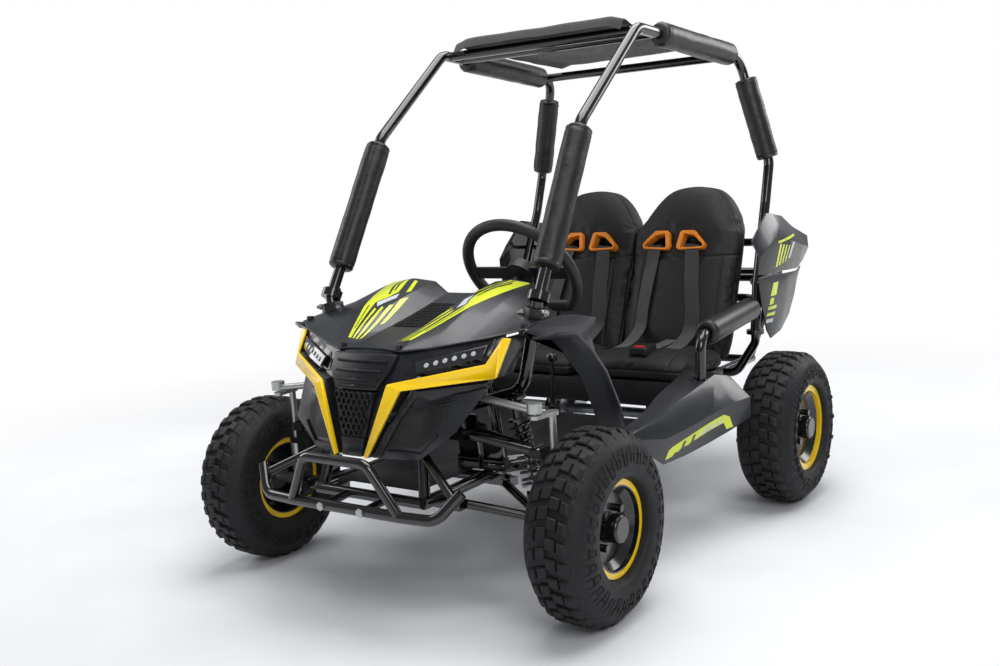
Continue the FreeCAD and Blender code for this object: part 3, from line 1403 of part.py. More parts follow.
NODES = {
    "main_frame": main_frame,
    "floor_pan": floor_pan,
    "front_bumper": front_bumper,
    "cage_front_hoop": cage_front_hoop,
    "cage_rear_hoop": cage_rear_hoop,
    "foam_pads": foam_pads,
    "roof_canopy": roof_canopy,
    "hood": hood,
    "nose_cowl": nose_cowl,
    "grille_shield": grille_shield,
    "grille_mesh": grille_mesh,
    "grille_blades": grille_blades,
    "headlight_lenses": headlight_lenses,
    "front_fenders": front_fenders,
    "collars_and_bolts": collars_and_bolts,
    "side_panels": side_panels,
    "side_bolsters": side_bolsters,
    "rear_panels": rear_panels,
    "seat_base": seat_base,
    "seat_cushions": seat_cushions,
    "belt_hole_rims": belt_hole_rims,
    "seat_belts": seat_belts,
    "buckle_bodies": buckle_bodies,
    "buckle_button_left": lambda: buckle_button(1),
    "buckle_button_right": lambda: buckle_button(-1),
    "steering_wheel": steering_wheel,
    "steering_column": steering_column,
    "steering_rack": steering_rack,
    "tie_rod_left": lambda: tie_rod(1),
    "tie_rod_right": lambda: tie_rod(-1),
    "lower_arm_left": lambda: arm(1, LOWER_INNER_Z, LOWER_ARM_BACKS, True),
    "lower_arm_right": lambda: arm(-1, LOWER_INNER_Z, LOWER_ARM_BACKS, True),
    "upper_arm_left": lambda: arm(1, UPPER_INNER_Z, UPPER_ARM_BACKS),
    "upper_arm_right": lambda: arm(-1, UPPER_INNER_Z, UPPER_ARM_BACKS),
    "carrier_left": lambda: carrier(1),
    "carrier_right": lambda: carrier(-1),
    "knuckle_left": lambda: knuckle(1),
    "knuckle_right": lambda: knuckle(-1),
    "shock_body_left": lambda: shock_body(1),
    "shock_body_right": lambda: shock_body(-1),
    "shock_rod_left": lambda: shock_rod(1),
    "shock_rod_right": lambda: shock_rod(-1),
    "shock_spring_left": lambda: shock_spring(1),
    "shock_spring_right": lambda: shock_spring(-1),
    "front_tyre_left": lambda: front_tyre(1),
    "front_tyre_right": lambda: front_tyre(-1),
    "front_wheel_left": lambda: front_wheel(1),
    "front_wheel_right": lambda: front_wheel(-1),
    "rear_tyres": rear_tyres,
    "rear_wheels": rear_wheels,
    "rear_axle": rear_axle,
    "brake_caliper": brake_caliper,
    "drive_chain": drive_chain,
    "drive_sprocket": drive_sprocket,
    "engine": engine,
    "muffler": muffler,
    "fuel_tank": fuel_tank,
    "brake_pedal": lambda: pedal(PEDAL_X[1]),
    "throttle_pedal": lambda: pedal(PEDAL_X[0]),
    "gear_lever": gear_lever,
}


def write_nodes():
    os.makedirs("parts", exist_ok=True)
    for name, make in NODES.items():
        shape = make()
        shape.exportStep("parts/" + name + ".step")
        good = shape.isValid() and all(s.Volume > 0 for s in shape.Solids)
        print(name, len(shape.Solids), round(shape.Volume / 1000, 1), "ok" if good else "BAD")


write_nodes()
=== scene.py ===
"""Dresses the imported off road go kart: materials, tyres, seats, pads, canopy, graphics."""

import json
import math

import bmesh
import bpy
from mathutils import Matrix, Vector, noise
from mathutils.bvhtree import BVHTree

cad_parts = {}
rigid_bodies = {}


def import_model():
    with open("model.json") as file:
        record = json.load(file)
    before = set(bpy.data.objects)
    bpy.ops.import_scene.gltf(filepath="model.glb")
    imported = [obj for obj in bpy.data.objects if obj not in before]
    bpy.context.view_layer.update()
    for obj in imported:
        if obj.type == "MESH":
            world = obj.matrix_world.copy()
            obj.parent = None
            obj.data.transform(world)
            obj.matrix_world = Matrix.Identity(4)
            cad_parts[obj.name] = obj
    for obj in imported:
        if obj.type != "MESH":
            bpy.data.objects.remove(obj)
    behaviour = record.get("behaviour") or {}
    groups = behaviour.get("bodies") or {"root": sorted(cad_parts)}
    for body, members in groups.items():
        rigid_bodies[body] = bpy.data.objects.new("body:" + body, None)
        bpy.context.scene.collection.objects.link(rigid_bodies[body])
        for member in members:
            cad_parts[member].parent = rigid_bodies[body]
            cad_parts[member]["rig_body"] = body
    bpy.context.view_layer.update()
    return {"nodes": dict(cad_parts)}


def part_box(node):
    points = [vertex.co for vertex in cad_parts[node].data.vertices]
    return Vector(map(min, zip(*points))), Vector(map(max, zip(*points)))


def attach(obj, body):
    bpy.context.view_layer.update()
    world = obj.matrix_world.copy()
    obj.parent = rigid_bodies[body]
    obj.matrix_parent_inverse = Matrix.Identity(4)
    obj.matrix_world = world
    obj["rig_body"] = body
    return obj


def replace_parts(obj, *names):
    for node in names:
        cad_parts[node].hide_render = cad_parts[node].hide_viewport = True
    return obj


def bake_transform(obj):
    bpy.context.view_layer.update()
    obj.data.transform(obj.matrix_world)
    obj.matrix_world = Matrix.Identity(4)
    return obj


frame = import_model()
nodes = frame["nodes"]

MM = 0.001
FRONT_AXLE_Y = -0.5995
REAR_AXLE_Y = 0.3405
AXLE_Z = 0.203


def at(x, back, z):
    """A point from millimetres left of centre, behind the front axle and up."""
    return Vector((x * MM, back * MM + FRONT_AXLE_Y, z * MM))


# Materials
def rgb(red, green, blue):
    """The linear colour of an 8 bit display colour."""
    def one(value):
        value = value / 255
        return value / 12.92 if value <= 0.04045 else ((value + 0.055) / 1.055) ** 2.4
    return (one(red), one(green), one(blue), 1.0)


class Nodes:
    """A material's node tree and the few wiring moves that the finishes share."""

    def __init__(self, name):
        self.material = bpy.data.materials.new(name)
        self.material.use_nodes = True
        self.tree = self.material.node_tree
        self.shader = self.tree.nodes["Principled BSDF"]
        self.place = self.add("ShaderNodeTexCoord").outputs["Object"]

    def add(self, kind, **settings):
        made = self.tree.nodes.new(kind)
        for key, value in settings.items():
            if hasattr(made, key):
                setattr(made, key, value)
            else:
                made.inputs[key.replace("_", " ").title()].default_value = value
        return made

    def link(self, source, target):
        self.tree.links.new(source, target)

    def noise(self, scale, detail=4.0, stretch=(1, 1, 1)):
        mapping = self.add("ShaderNodeMapping")
        mapping.inputs["Scale"].default_value = stretch
        self.link(self.place, mapping.inputs["Vector"])
        made = self.add("ShaderNodeTexNoise", scale=scale, detail=detail)
        self.link(mapping.outputs["Vector"], made.inputs["Vector"])
        return made.outputs["Fac"]

    def ramp(self, source, low, high, start=0.35, end=0.65):
        made = self.add("ShaderNodeValToRGB")
        made.color_ramp.elements[0].position = start
        made.color_ramp.elements[1].position = end
        made.color_ramp.elements[0].color = low
        made.color_ramp.elements[1].color = high
        self.link(source, made.inputs["Fac"])
        return made.outputs["Color"]

    def spread(self, source, low, high):
        made = self.add("ShaderNodeMapRange")
        made.inputs["To Min"].default_value = low
        made.inputs["To Max"].default_value = high
        self.link(source, made.inputs["Value"])
        return made.outputs["Result"]

    def bump(self, height, strength, distance, under=None):
        made = self.add("ShaderNodeBump")
        made.inputs["Strength"].default_value = strength
        made.inputs["Distance"].default_value = distance
        self.link(height, made.inputs["Height"])
        if under is not None:
            self.link(under, made.inputs["Normal"])
        return made.outputs["Normal"]


def shade(colour, factor):
    return tuple(c * factor for c in colour[:3]) + (1.0,)


def finish(name, colour, rough, metal=0.0, coat=0.0, grain=900.0, grain_depth=0.00004,
           vary=0.25, wave=14.0, wave_depth=0.0, specular=0.5):
    """A moulded, painted or cast surface: broad colour drift, fine grain, uneven gloss."""
    n = Nodes(name)
    drift = n.noise(9.0, 3.0)
    n.link(n.ramp(drift, shade(colour, 1 - vary), shade(colour, 1 + vary * 0.6)),
           n.shader.inputs["Base Color"])
    n.link(n.spread(n.noise(34.0, 6.0), max(0.04, rough - 0.09), min(1.0, rough + 0.09)),
           n.shader.inputs["Roughness"])
    n.shader.inputs["Metallic"].default_value = metal
    n.shader.inputs["Specular IOR Level"].default_value = specular
    n.shader.inputs["Coat Weight"].default_value = coat
    n.shader.inputs["Coat Roughness"].default_value = 0.08
    normal = n.bump(n.noise(grain, 2.0), 0.35, grain_depth)
    if wave_depth:
        normal = n.bump(n.noise(wave, 2.0), 0.5, wave_depth, normal)
    n.link(normal, n.shader.inputs["Normal"])
    return n.material


def leather(name, colour, rough, pore=520.0, depth=0.00022, wrinkle=0.0006):
    """Vinyl with pores and soft wrinkles."""
    n = Nodes(name)
    n.link(n.ramp(n.noise(26.0, 5.0), shade(colour, 0.75), shade(colour, 1.3)),
           n.shader.inputs["Base Color"])
    n.link(n.spread(n.noise(60.0, 5.0), rough - 0.1, rough + 0.12),
           n.shader.inputs["Roughness"])
    cells = n.add("ShaderNodeTexVoronoi", feature="DISTANCE_TO_EDGE", scale=pore)
    n.link(n.place, cells.inputs["Vector"])
    normal = n.bump(cells.outputs["Distance"], 0.5, depth)
    normal = n.bump(n.noise(38.0, 4.0, (1, 1, 0.35)), 0.6, wrinkle, normal)
    n.link(normal, n.shader.inputs["Normal"])
    return n.material


def woven(name, colour, rough, pitch, depth, sheen=0.2):
    """Cloth or webbing: two crossed sets of threads."""
    n = Nodes(name)
    heights = []
    for axis in ("X", "Z"):
        made = n.add("ShaderNodeTexWave", wave_type="BANDS", bands_direction=axis,
                     scale=1 / pitch / 2, distortion=0.6, detail=1.0)
        n.link(n.place, made.inputs["Vector"])
        heights.append(made.outputs["Fac"])
    both = n.add("ShaderNodeMath", operation="MULTIPLY")
    n.link(heights[0], both.inputs[0])
    n.link(heights[1], both.inputs[1])
    # Painted shade: the colour is darker where the thread heights are low, in the hollows of the
    # weave, on top of the bump.
    n.link(n.ramp(both.outputs[0], shade(colour, 0.55), shade(colour, 1.25), 0.0, 0.8),
           n.shader.inputs["Base Color"])
    n.shader.inputs["Roughness"].default_value = rough
    n.shader.inputs["Sheen Weight"].default_value = sheen
    n.shader.inputs["Sheen Roughness"].default_value = 0.5
    normal = n.bump(both.outputs[0], 0.8, depth)
    normal = n.bump(n.noise(22.0, 3.0), 0.5, 0.0012, normal)
    n.link(normal, n.shader.inputs["Normal"])
    return n.material


def two_tone_wheel(name, inner, outer, centre_y, radius):
    """Gloss paint that changes colour at a radius from the wheel's axle."""
    n = Nodes(name)
    split = n.add("ShaderNodeSeparateXYZ")
    n.link(n.place, split.inputs[0])
    join = n.add("ShaderNodeCombineXYZ")
    for axis, middle in (("Y", centre_y), ("Z", AXLE_Z)):
        less = n.add("ShaderNodeMath", operation="SUBTRACT")
        less.inputs[1].default_value = middle
        n.link(split.outputs[axis], less.inputs[0])
        n.link(less.outputs[0], join.inputs[axis])
    size = n.add("ShaderNodeVectorMath", operation="LENGTH")
    n.link(join.outputs[0], size.inputs[0])
    test = n.add("ShaderNodeMath", operation="GREATER_THAN")
    test.inputs[1].default_value = radius
    n.link(size.outputs["Value"], test.inputs[0])
    n.link(n.ramp(test.outputs[0], inner, outer, 0.4, 0.6), n.shader.inputs["Base Color"])
    n.link(n.spread(n.noise(40.0, 5.0), 0.16, 0.34), n.shader.inputs["Roughness"])
    n.shader.inputs["Coat Weight"].default_value = 0.4
    n.link(n.bump(n.noise(160.0, 2.0), 0.3, 0.0001), n.shader.inputs["Normal"])
    return n.material


M = {
    "tube": finish("tube_black", rgb(9, 9, 11), 0.16, coat=0.6, grain=300),
    "body": finish("body_grey", rgb(21, 23, 29), 0.34, coat=0.2, grain=700, vary=0.2),
    "trim": finish("trim_black", rgb(16, 17, 19), 0.4, grain=1300, grain_depth=0.00012),
    "dark": finish("deep_black", rgb(12, 12, 13), 0.55, grain=900, grain_depth=0.0001),
    "yellow": finish("accent_yellow", rgb(250, 206, 10), 0.3, coat=0.3, vary=0.08),
    "lime": finish("graphic_lime", rgb(214, 226, 34), 0.3, coat=0.3, vary=0.06),
    "pale": finish("graphic_pale", rgb(196, 202, 206), 0.32, coat=0.3, vary=0.06),
    "ink": finish("graphic_black", rgb(12, 12, 14), 0.28, coat=0.4, vary=0.1),
    "orange": finish("rim_orange", rgb(236, 138, 32), 0.36, vary=0.1, grain_depth=0.00008),
    "red": finish("button_red", rgb(206, 28, 26), 0.35, coat=0.3, vary=0.1),
    "steel": finish("steel", rgb(150, 152, 156), 0.3, metal=0.9, grain=500, vary=0.15),
    "zinc": finish("zinc", rgb(176, 178, 176), 0.36, metal=0.85, grain=700, vary=0.15),
    "alloy": finish("engine_alloy", rgb(112, 114, 117), 0.5, metal=0.6, grain=420,
                    grain_depth=0.0003, vary=0.2),
    "spring": finish("spring_black", rgb(16, 16, 18), 0.26, coat=0.5),
    "rubber": finish("tyre_rubber", rgb(19, 20, 22), 0.6, grain=420, grain_depth=0.0005,
                     vary=0.3, wave=50, wave_depth=0.0008, specular=0.35),
    "grip": leather("grip_rubber", rgb(20, 20, 21), 0.5, 700.0, 0.0002, 0.0002),
    "foam": leather("foam_vinyl", rgb(17, 18, 20), 0.4, 620.0, 0.00012, 0.0008),
    "seat": leather("seat_vinyl", rgb(9, 10, 11), 0.62, 620.0, 0.0002, 0.0006),
    "lens": finish("lens_smoke", rgb(26, 27, 30), 0.08, coat=1.0, grain_depth=0.0),
    "led": finish("led_white", rgb(176, 179, 184), 0.3, coat=0.3, vary=0.02),
    "canopy": woven("canopy_cloth", rgb(15, 16, 17), 0.8, 0.0016, 0.0004),
    "webbing": woven("belt_webbing", rgb(14, 15, 17), 0.42, 0.0022, 0.0006, 0.35),
    "wheel_front": two_tone_wheel("wheel_paint_front", rgb(16, 16, 18), rgb(244, 200, 16),
                                  FRONT_AXLE_Y, 0.0893),
    "wheel_rear": two_tone_wheel("wheel_paint_rear", rgb(16, 16, 18), rgb(244, 200, 16),
                                 REAR_AXLE_Y, 0.0985),
}
FINISHES = {
    "tube": ("main_frame", "front_bumper", "cage_front_hoop", "cage_rear_hoop",
             "lower_arm_left", "lower_arm_right", "upper_arm_left", "upper_arm_right",
             "brake_pedal", "throttle_pedal", "gear_lever", "shock_body_left",
             "shock_body_right"),
    "body": ("hood", "front_fenders", "side_panels", "rear_panels", "nose_cowl"),
    "trim": ("side_bolsters", "seat_base", "buckle_bodies", "grille_shield", "floor_pan",
             "carrier_left", "carrier_right", "brake_caliper", "steering_column"),
    "dark": ("grille_mesh",),
    "yellow": ("grille_blades",),
    "orange": ("belt_hole_rims",),
    "red": ("buckle_button_left", "buckle_button_right"),
    "steel": ("shock_rod_left", "shock_rod_right", "rear_axle", "drive_chain",
              "drive_sprocket", "steering_rack"),
    "zinc": ("tie_rod_left", "tie_rod_right", "knuckle_left", "knuckle_right"),
    "alloy": ("engine", "muffler"),
    "spring": ("shock_spring_left", "shock_spring_right"),
    "grip": ("steering_wheel",),
    "lens": ("headlight_lenses",),
    "foam": ("foam_pads",),
    "seat": ("seat_cushions",),
    "canopy": ("roof_canopy",),
    "webbing": ("seat_belts",),
    "rubber": ("front_tyre_left", "front_tyre_right", "rear_tyres"),
    "wheel_front": ("front_wheel_left", "front_wheel_right"),
    "wheel_rear": ("rear_wheels",),
    "ink": ("fuel_tank", "collars_and_bolts"),
}
for key, names in FINISHES.items():
    for name in names:
        slots = nodes[name].data.materials
        slots.clear()
        slots.append(M[key])


# Mesh making
def mesh_object(name, verts, faces, material, body="chassis", smooth=None):
    mesh = bpy.data.meshes.new(name)
    mesh.from_pydata([tuple(v) for v in verts], [], faces)
    mesh.validate()
    made = bpy.data.objects.new(name, mesh)
    bpy.context.scene.collection.objects.link(made)
    mesh.materials.append(material)
    tidy_normals(mesh)
    if smooth is not None:
        smooth_shade(mesh, smooth)
    if body:
        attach(made, body)
    return made


def tidy_normals(mesh):
    work = bmesh.new()
    work.from_mesh(mesh)
    bmesh.ops.recalc_face_normals(work, faces=work.faces)
    work.to_mesh(mesh)
    work.free()


def smooth_shade(mesh, degrees):
    mesh.polygons.foreach_set("use_smooth", [True] * len(mesh.polygons))
    mesh.set_sharp_from_angle(angle=math.radians(degrees))


def add_modifier(made, kind, **settings):
    modifier = made.modifiers.new(kind.title(), kind)
    for key, value in settings.items():
        setattr(modifier, key, value)
    return modifier


def bake(made):
    """Applies every modifier, so that only a plain mesh is left."""
    graph = bpy.context.evaluated_depsgraph_get()
    graph.update()
    baked = bpy.data.meshes.new_from_object(made.evaluated_get(graph))
    made.modifiers.clear()
    made.data = baked
    return made


def merged(node):
    """A node's mesh with its split edges joined."""
    work = bmesh.new()
    work.from_mesh(nodes[node].data)
    bmesh.ops.remove_doubles(work, verts=work.verts, dist=1e-5)
    return work


def linked(name, work, material):
    """A scene object made from a bmesh, which it uses up."""
    mesh = bpy.data.meshes.new(name)
    work.to_mesh(mesh)
    work.free()
    made = bpy.data.objects.new(name, mesh)
    bpy.context.scene.collection.objects.link(made)
    mesh.materials.append(material)
    return made


def islands(work):
    """Splits a mesh into lists of vertices that hang together."""
    seen = set()
    groups = []
    for start in work.verts:
        if start in seen:
            continue
        group = []
        stack = [start]
        seen.add(start)
        while stack:
            v = stack.pop()
            group.append(v)
            for edge in v.link_edges:
                other = edge.other_vert(v)
                if other not in seen:
                    seen.add(other)
                    stack.append(other)
        groups.append(group)
    return groups


def dressed(node, edge, material=None, flat=1.0, angle=28.0):
    """Replaces a rigid node by its own shape with its edges rounded."""
    work = merged(node)
    bmesh.ops.dissolve_limit(work, angle_limit=math.radians(flat), verts=work.verts,
                             edges=work.edges)
    made = linked(node + "_dressed", work, material or nodes[node].data.materials[0])
    add_modifier(made, "BEVEL", width=edge, segments=2, limit_method="ANGLE",
                 angle_limit=math.radians(angle), use_clamp_overlap=True)
    bake(made)
    smooth_shade(made.data, 35)
    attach(made, nodes[node]["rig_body"])
    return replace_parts(made, node)


def node_parts(node):
    """The separate solids of a node as (vertices, faces), left to right by centre."""
    work = merged(node)
    found = []
    for group in islands(work):
        index = {v: i for i, v in enumerate(group)}
        faces = {f for v in group for f in v.link_faces}
        found.append(([v.co.copy() for v in group],
                      [[index[v] for v in f.verts] for f in faces]))
    work.free()
    return sorted(found, key=lambda part: sum(v.x for v in part[0]) / len(part[0]))


def catmull(points, per):
    """Points of a smooth line through the given ones."""
    ends = [points[0] * 2 - points[1]] + list(points) + [points[-1] * 2 - points[-2]]
    out = []
    for a, b, c, d in zip(ends, ends[1:], ends[2:], ends[3:]):
        for k in range(per):
            t = k / per
            out.append(0.5 * ((2 * b) + (c - a) * t + (2 * a - 5 * b + 4 * c - d) * t * t
                              + (3 * b - a - 3 * c + d) * t * t * t))
    return out + [points[-1].copy()]


def surface_tree(made):
    graph = bpy.context.evaluated_depsgraph_get()
    return BVHTree.FromObject(made, graph)


def decal(name, tree, outline, plane, material, lift=0.0006, cell=0.009, thick=0.0):
    """A thin printed shape laid on a surface, seen along the axis left out of plane."""
    axes = {"xy": (0, 1, 2, -1), "xz": (0, 2, 1, 1), "yz+": (1, 2, 0, -1), "yz-": (1, 2, 0, 1)}
    a, b, c, way = axes[plane]
    work = bmesh.new()
    verts = []
    for p in outline:
        v = [0.0, 0.0, 0.0]
        v[a], v[b] = p
        verts.append(work.verts.new(v))
    work.faces.new(verts)
    for axis in (a, b):
        values = [v.co[axis] for v in work.verts]
        place = math.floor(min(values) / cell) * cell
        while place < max(values):
            co = [0.0, 0.0, 0.0]
            normal = [0.0, 0.0, 0.0]
            co[axis] = place
            normal[axis] = 1.0
            bmesh.ops.bisect_plane(work, geom=work.verts[:] + work.edges[:] + work.faces[:],
                                   plane_co=co, plane_no=normal)
            place += cell
    bmesh.ops.triangulate(work, faces=work.faces)
    direction = Vector((0, 0, 0))
    direction[c] = way
    lost = []
    for v in work.verts:
        start = v.co.copy()
        start[c] = -3.0 * way
        hit, normal, _, _ = tree.ray_cast(start, direction)
        if hit is None:
            lost.append(v)
            continue
        if normal.dot(direction) > 0:
            normal = -normal
        v.co = hit + normal * lift
    bmesh.ops.delete(work, geom=lost, context="VERTS")
    made = linked(name, work, material)
    if thick:
        tidy_normals(made.data)
        middle = sum((p.normal.dot(direction) for p in made.data.polygons), 0.0)
        add_modifier(made, "SOLIDIFY", thickness=thick, offset=-1 if middle > 0 else 1)
        add_modifier(made, "BEVEL", width=min(0.3 * thick, 0.0012), segments=2,
                     limit_method="ANGLE", angle_limit=math.radians(50))
        bake(made)
    smooth_shade(made.data, 40)
    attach(made, "chassis")
    return made


# Tyres
def tyre_line(half, bead, base):
    """The casing's outline from its middle to its bead, as (across, radius)."""
    rough = [(0, 195.5), (half * 0.5, 194), (half - 25, 188), (half - 9, 172),
             (half - 2, 148), (half - 1, bead + 46), (half - 7, bead + 20), (base, bead + 13)]
    points = [Vector((a * MM, r * MM, 0)) for a, r in rough]
    return catmull(points, 6)


def along(line, place):
    """The point and outward normal at a length along the outline; negative mirrors."""
    side = -1 if place < 0 else 1
    left = abs(place)
    for p, q in zip(line, line[1:]):
        step = (q - p).length
        if left <= step:
            break
        left -= step
    way = (q - p).normalized()
    point = p + way * min(left, step)
    return side * point.x, point.y, Vector((side * -way.y * -1, way.x, 0)).normalized()


def lug(verts, faces, line, corners, height):
    """One tread block between four (turn, place) corners."""
    edge = 0.0022
    us = (0.0, 0.03, 0.1, 0.37, 0.63, 0.9, 0.97, 1.0)
    vs = (0.0, 0.05, 0.15, 0.85, 0.95, 1.0)
    rise_u = {0: -1.0, len(us) - 1: -1.0, 1: height - edge, len(us) - 2: height - edge}
    rise_v = {0: -1.0, len(vs) - 1: -1.0, 1: height - edge, len(vs) - 2: height - edge}
    first = len(verts)
    for i, u in enumerate(us):
        for j, v in enumerate(vs):
            turn, place = (
                (corners[0][k] * (1 - u) + corners[1][k] * u) * (1 - v)
                + (corners[3][k] * (1 - u) + corners[2][k] * u) * v for k in (0, 1))
            rise = min(rise_u.get(i, height), rise_v.get(j, height))
            rise = -0.0015 if rise < 0 else rise
            across, radius, normal = along(line, place)
            across += normal.x * rise
            radius += normal.y * rise
            verts.append(Vector((across, -math.sin(turn) * radius, math.cos(turn) * radius)))
    m = len(vs)
    for i in range(len(us) - 1):
        for j in range(m - 1):
            k = first + i * m + j
            faces.append([k, k + 1, k + m + 1, k + m])


def tyre_mesh(half, bead, base, pitches):
    line = tyre_line(half, bead, base)
    profile = [(-p.x, p.y) for p in reversed(line[1:])] + [(p.x, p.y) for p in line]
    lip = base * MM
    profile = [(-lip, bead * MM)] + profile + [(lip, bead * MM)]
    inner = [(lip - 0.012, bead * MM + 0.004), (half * MM - 0.014, bead * MM + 0.04),
             (half * MM - 0.03, 0.172)]
    profile += inner + [(-a, r) for a, r in reversed(inner)]
    verts = []
    faces = []
    ring = 120
    m = len(profile)
    for i in range(ring):
        turn = 2 * math.pi * i / ring
        for a, r in profile:
            verts.append(Vector((a, -math.sin(turn) * r, math.cos(turn) * r)))
    for i in range(ring):
        for j in range(m):
            faces.append([i * m + j, i * m + (j + 1) % m, (i + 1) % ring * m + (j + 1) % m,
                          (i + 1) % ring * m + j])
    wide = half * MM
    pitch = 2 * math.pi / pitches
    rows = ((0.002, 0.30, 0.00, 0.10, 0.66, 0.0072), (0.34, 0.66, 0.16, 0.34, 0.66, 0.0072),
            (0.70, 1.18, 0.42, 0.66, 0.60, 0.0066), (1.22, 1.46, 0.72, 0.84, 0.46, 0.004))
    for step in range(pitches):
        for side in (-1, 1):
            shift = 0.0 if side > 0 else 0.5
            for near, far, lean_in, lean_out, long, high in rows:
                far_here = far + (0.07 if step % 2 and far > 1 else 0.0)
                a = (step + shift + lean_in) * pitch
                b = (step + shift + lean_out) * pitch
                corners = ((a, side * near * wide), (b, side * far_here * wide),
                           (b + long * pitch, side * far_here * wide),
                           (a + long * pitch, side * near * wide))
                lug(verts, faces, line, corners, high)
    return verts, faces


def place_tyre(name, x, y, shape, body, node):
    verts, faces = shape
    moved = [v + Vector((x, y, AXLE_Z)) for v in verts]
    made = mesh_object(name, moved, faces, M["rubber"], body, 38)
    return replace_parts(made, node)


front_shape = tyre_mesh(75.0, 89.0, 46.0, 32)
rear_shape = tyre_mesh(80.0, 102.0, 56.0, 32)
for side, word in ((1, "left"), (-1, "right")):
    place_tyre("tyre_front_" + word, side * 0.472, FRONT_AXLE_Y, front_shape,
               "wheel_" + word, "front_tyre_" + word)
    place_tyre("tyre_rear_" + word, side * 0.526, REAR_AXLE_Y, rear_shape,
               "rear_axle", "rear_tyres")


# Soft pieces
def remeshed(name, part, voxel, material):
    verts, faces = part
    made = mesh_object(name, verts, faces, material, None)
    add_modifier(made, "REMESH", mode="VOXEL", voxel_size=voxel)
    bake(made)
    made.data.materials.clear()
    made.data.materials.append(material)
    return made


def swollen(made, pressure, cap, frames=18):
    """Swells a closed shape with air, and keeps each point near where it was."""
    scene = bpy.context.scene
    before = [v.co.copy() for v in made.data.vertices]
    modifier = made.modifiers.new("Cloth", "CLOTH")
    modifier.settings.quality = 4
    modifier.settings.use_pressure = True
    modifier.settings.uniform_pressure_force = pressure
    modifier.settings.effector_weights.gravity = 0
    modifier.settings.tension_stiffness = 12
    modifier.settings.bending_stiffness = 2.0
    modifier.point_cache.frame_start = 1
    modifier.point_cache.frame_end = frames
    for step in range(1, frames + 1):
        scene.frame_set(step)
    graph = bpy.context.evaluated_depsgraph_get()
    after = made.evaluated_get(graph).to_mesh()
    moved = [v.co.copy() for v in after.vertices]
    made.modifiers.clear()
    scene.frame_set(1)
    for vertex, old, new in zip(made.data.vertices, before, moved):
        step = new - old
        if step.length > cap:
            step = step.normalized() * cap
        vertex.co = old + step
    return made


def softened(made, rounds, factor=0.5):
    modifier = add_modifier(made, "SMOOTH", iterations=rounds, factor=factor)
    bake(made)
    return made


SEAT_TOP = 0.801
NOTCH_DEPTH = 0.066
SHOULDER_DROP = 0.1


def humped(made):
    """Gives a backrest its round top and lets the pair meet in the middle."""
    for vertex in made.data.vertices:
        co = vertex.co
        x = max(co.x, 0.0)
        near = NOTCH_DEPTH * min(1.0, max(0.0, 0.168 - x) / 0.168) ** 3.0
        far = SHOULDER_DROP * min(1.0, max(0.0, x - 0.168) / 0.204) ** 3.0
        top = SEAT_TOP - near - far
        start = min(0.722, top - 0.03)
        if co.z > start:
            co.z = start + (co.z - start) * (top - start) / (SEAT_TOP - start)
        co.x = max(0.0006, co.x - 0.0066 * (1 - min(1.0, co.x / 0.12)))
    return made


def groove(distance, width, depth):
    """How deep a seam presses at a distance from its line."""
    reach = abs(distance) / width
    return depth * (1 - reach * reach) ** 2 if reach < 1 else 0.0


BACK_LEAN = 0.42


def back_face(z):
    """How far back the backrest's front is, in metres, at a height."""
    return 0.972 + BACK_LEAN * (z - 0.366) + FRONT_AXLE_Y


def seat_pieces():
    for part in node_parts("seat_cushions"):
        verts = part[0]
        middle = sum((v for v in verts), Vector()) / len(verts)
        if middle.x < 0:
            continue
        is_back = max(v.z for v in verts) > 0.6
        word = "back" if is_back else "cushion"
        made = remeshed("seat_" + word + "_left", part, 0.005, M["seat"])
        softened(made, 6)
        if is_back:
            humped(made)
        swollen(made, 3.0, 0.008)
        add_modifier(made, "SUBSURF", levels=1, render_levels=1)
        bake(made)
        sew(made, is_back)
        smooth_shade(made.data, 60)
        twin = bpy.data.objects.new("seat_" + word + "_right", made.data.copy())
        bpy.context.scene.collection.objects.link(twin)
        twin.data.transform(Matrix.Scale(-1, 4, Vector((1, 0, 0))))
        twin.data.flip_normals()
        for each in (made, twin):
            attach(each, "chassis")
            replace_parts(each, "seat_cushions")


def sew(made, is_back):
    """Presses the seams of a seat cover into its surface."""
    normals = [v.normal.copy() for v in made.data.vertices]
    for vertex, normal in zip(made.data.vertices, normals):
        co = vertex.co
        deep = 0.0
        if is_back:
            if normal.y < -0.3:
                if co.z < 0.655:
                    deep = max(groove(co.x - 0.052, 0.006, 0.003),
                               groove(co.x - 0.298, 0.006, 0.003))
                deep = max(deep, groove(co.z - 0.655, 0.006, 0.003))
            deep = max(deep, groove(co.y - back_face(co.z) - 0.008, 0.005, 0.0025))
        else:
            if normal.z > 0.4:
                deep = max(groove(co.x - 0.060, 0.006, 0.003),
                           groove(co.x - 0.290, 0.006, 0.003))
            deep = max(deep, groove(co.z - 0.380, 0.005, 0.0025))
        vertex.co = co - normal * deep


seat_pieces()


def pad_axis(verts):
    """A long solid's middle, direction, half length and radius."""
    middle = sum(verts, Vector()) / len(verts)
    far = max(verts, key=lambda v: (v - middle).length)
    way = (far - middle).normalized()
    for _ in range(6):
        total = Vector()
        for v in verts:
            step = v - middle
            total += step * step.dot(way)
        way = total.normalized()
    reach = [(v - middle).dot(way) for v in verts]
    middle = middle + way * (max(reach) + min(reach)) / 2
    half = (max(reach) - min(reach)) / 2
    radius = max(((v - middle) - way * (v - middle).dot(way)).length for v in verts)
    return middle, way, half, radius


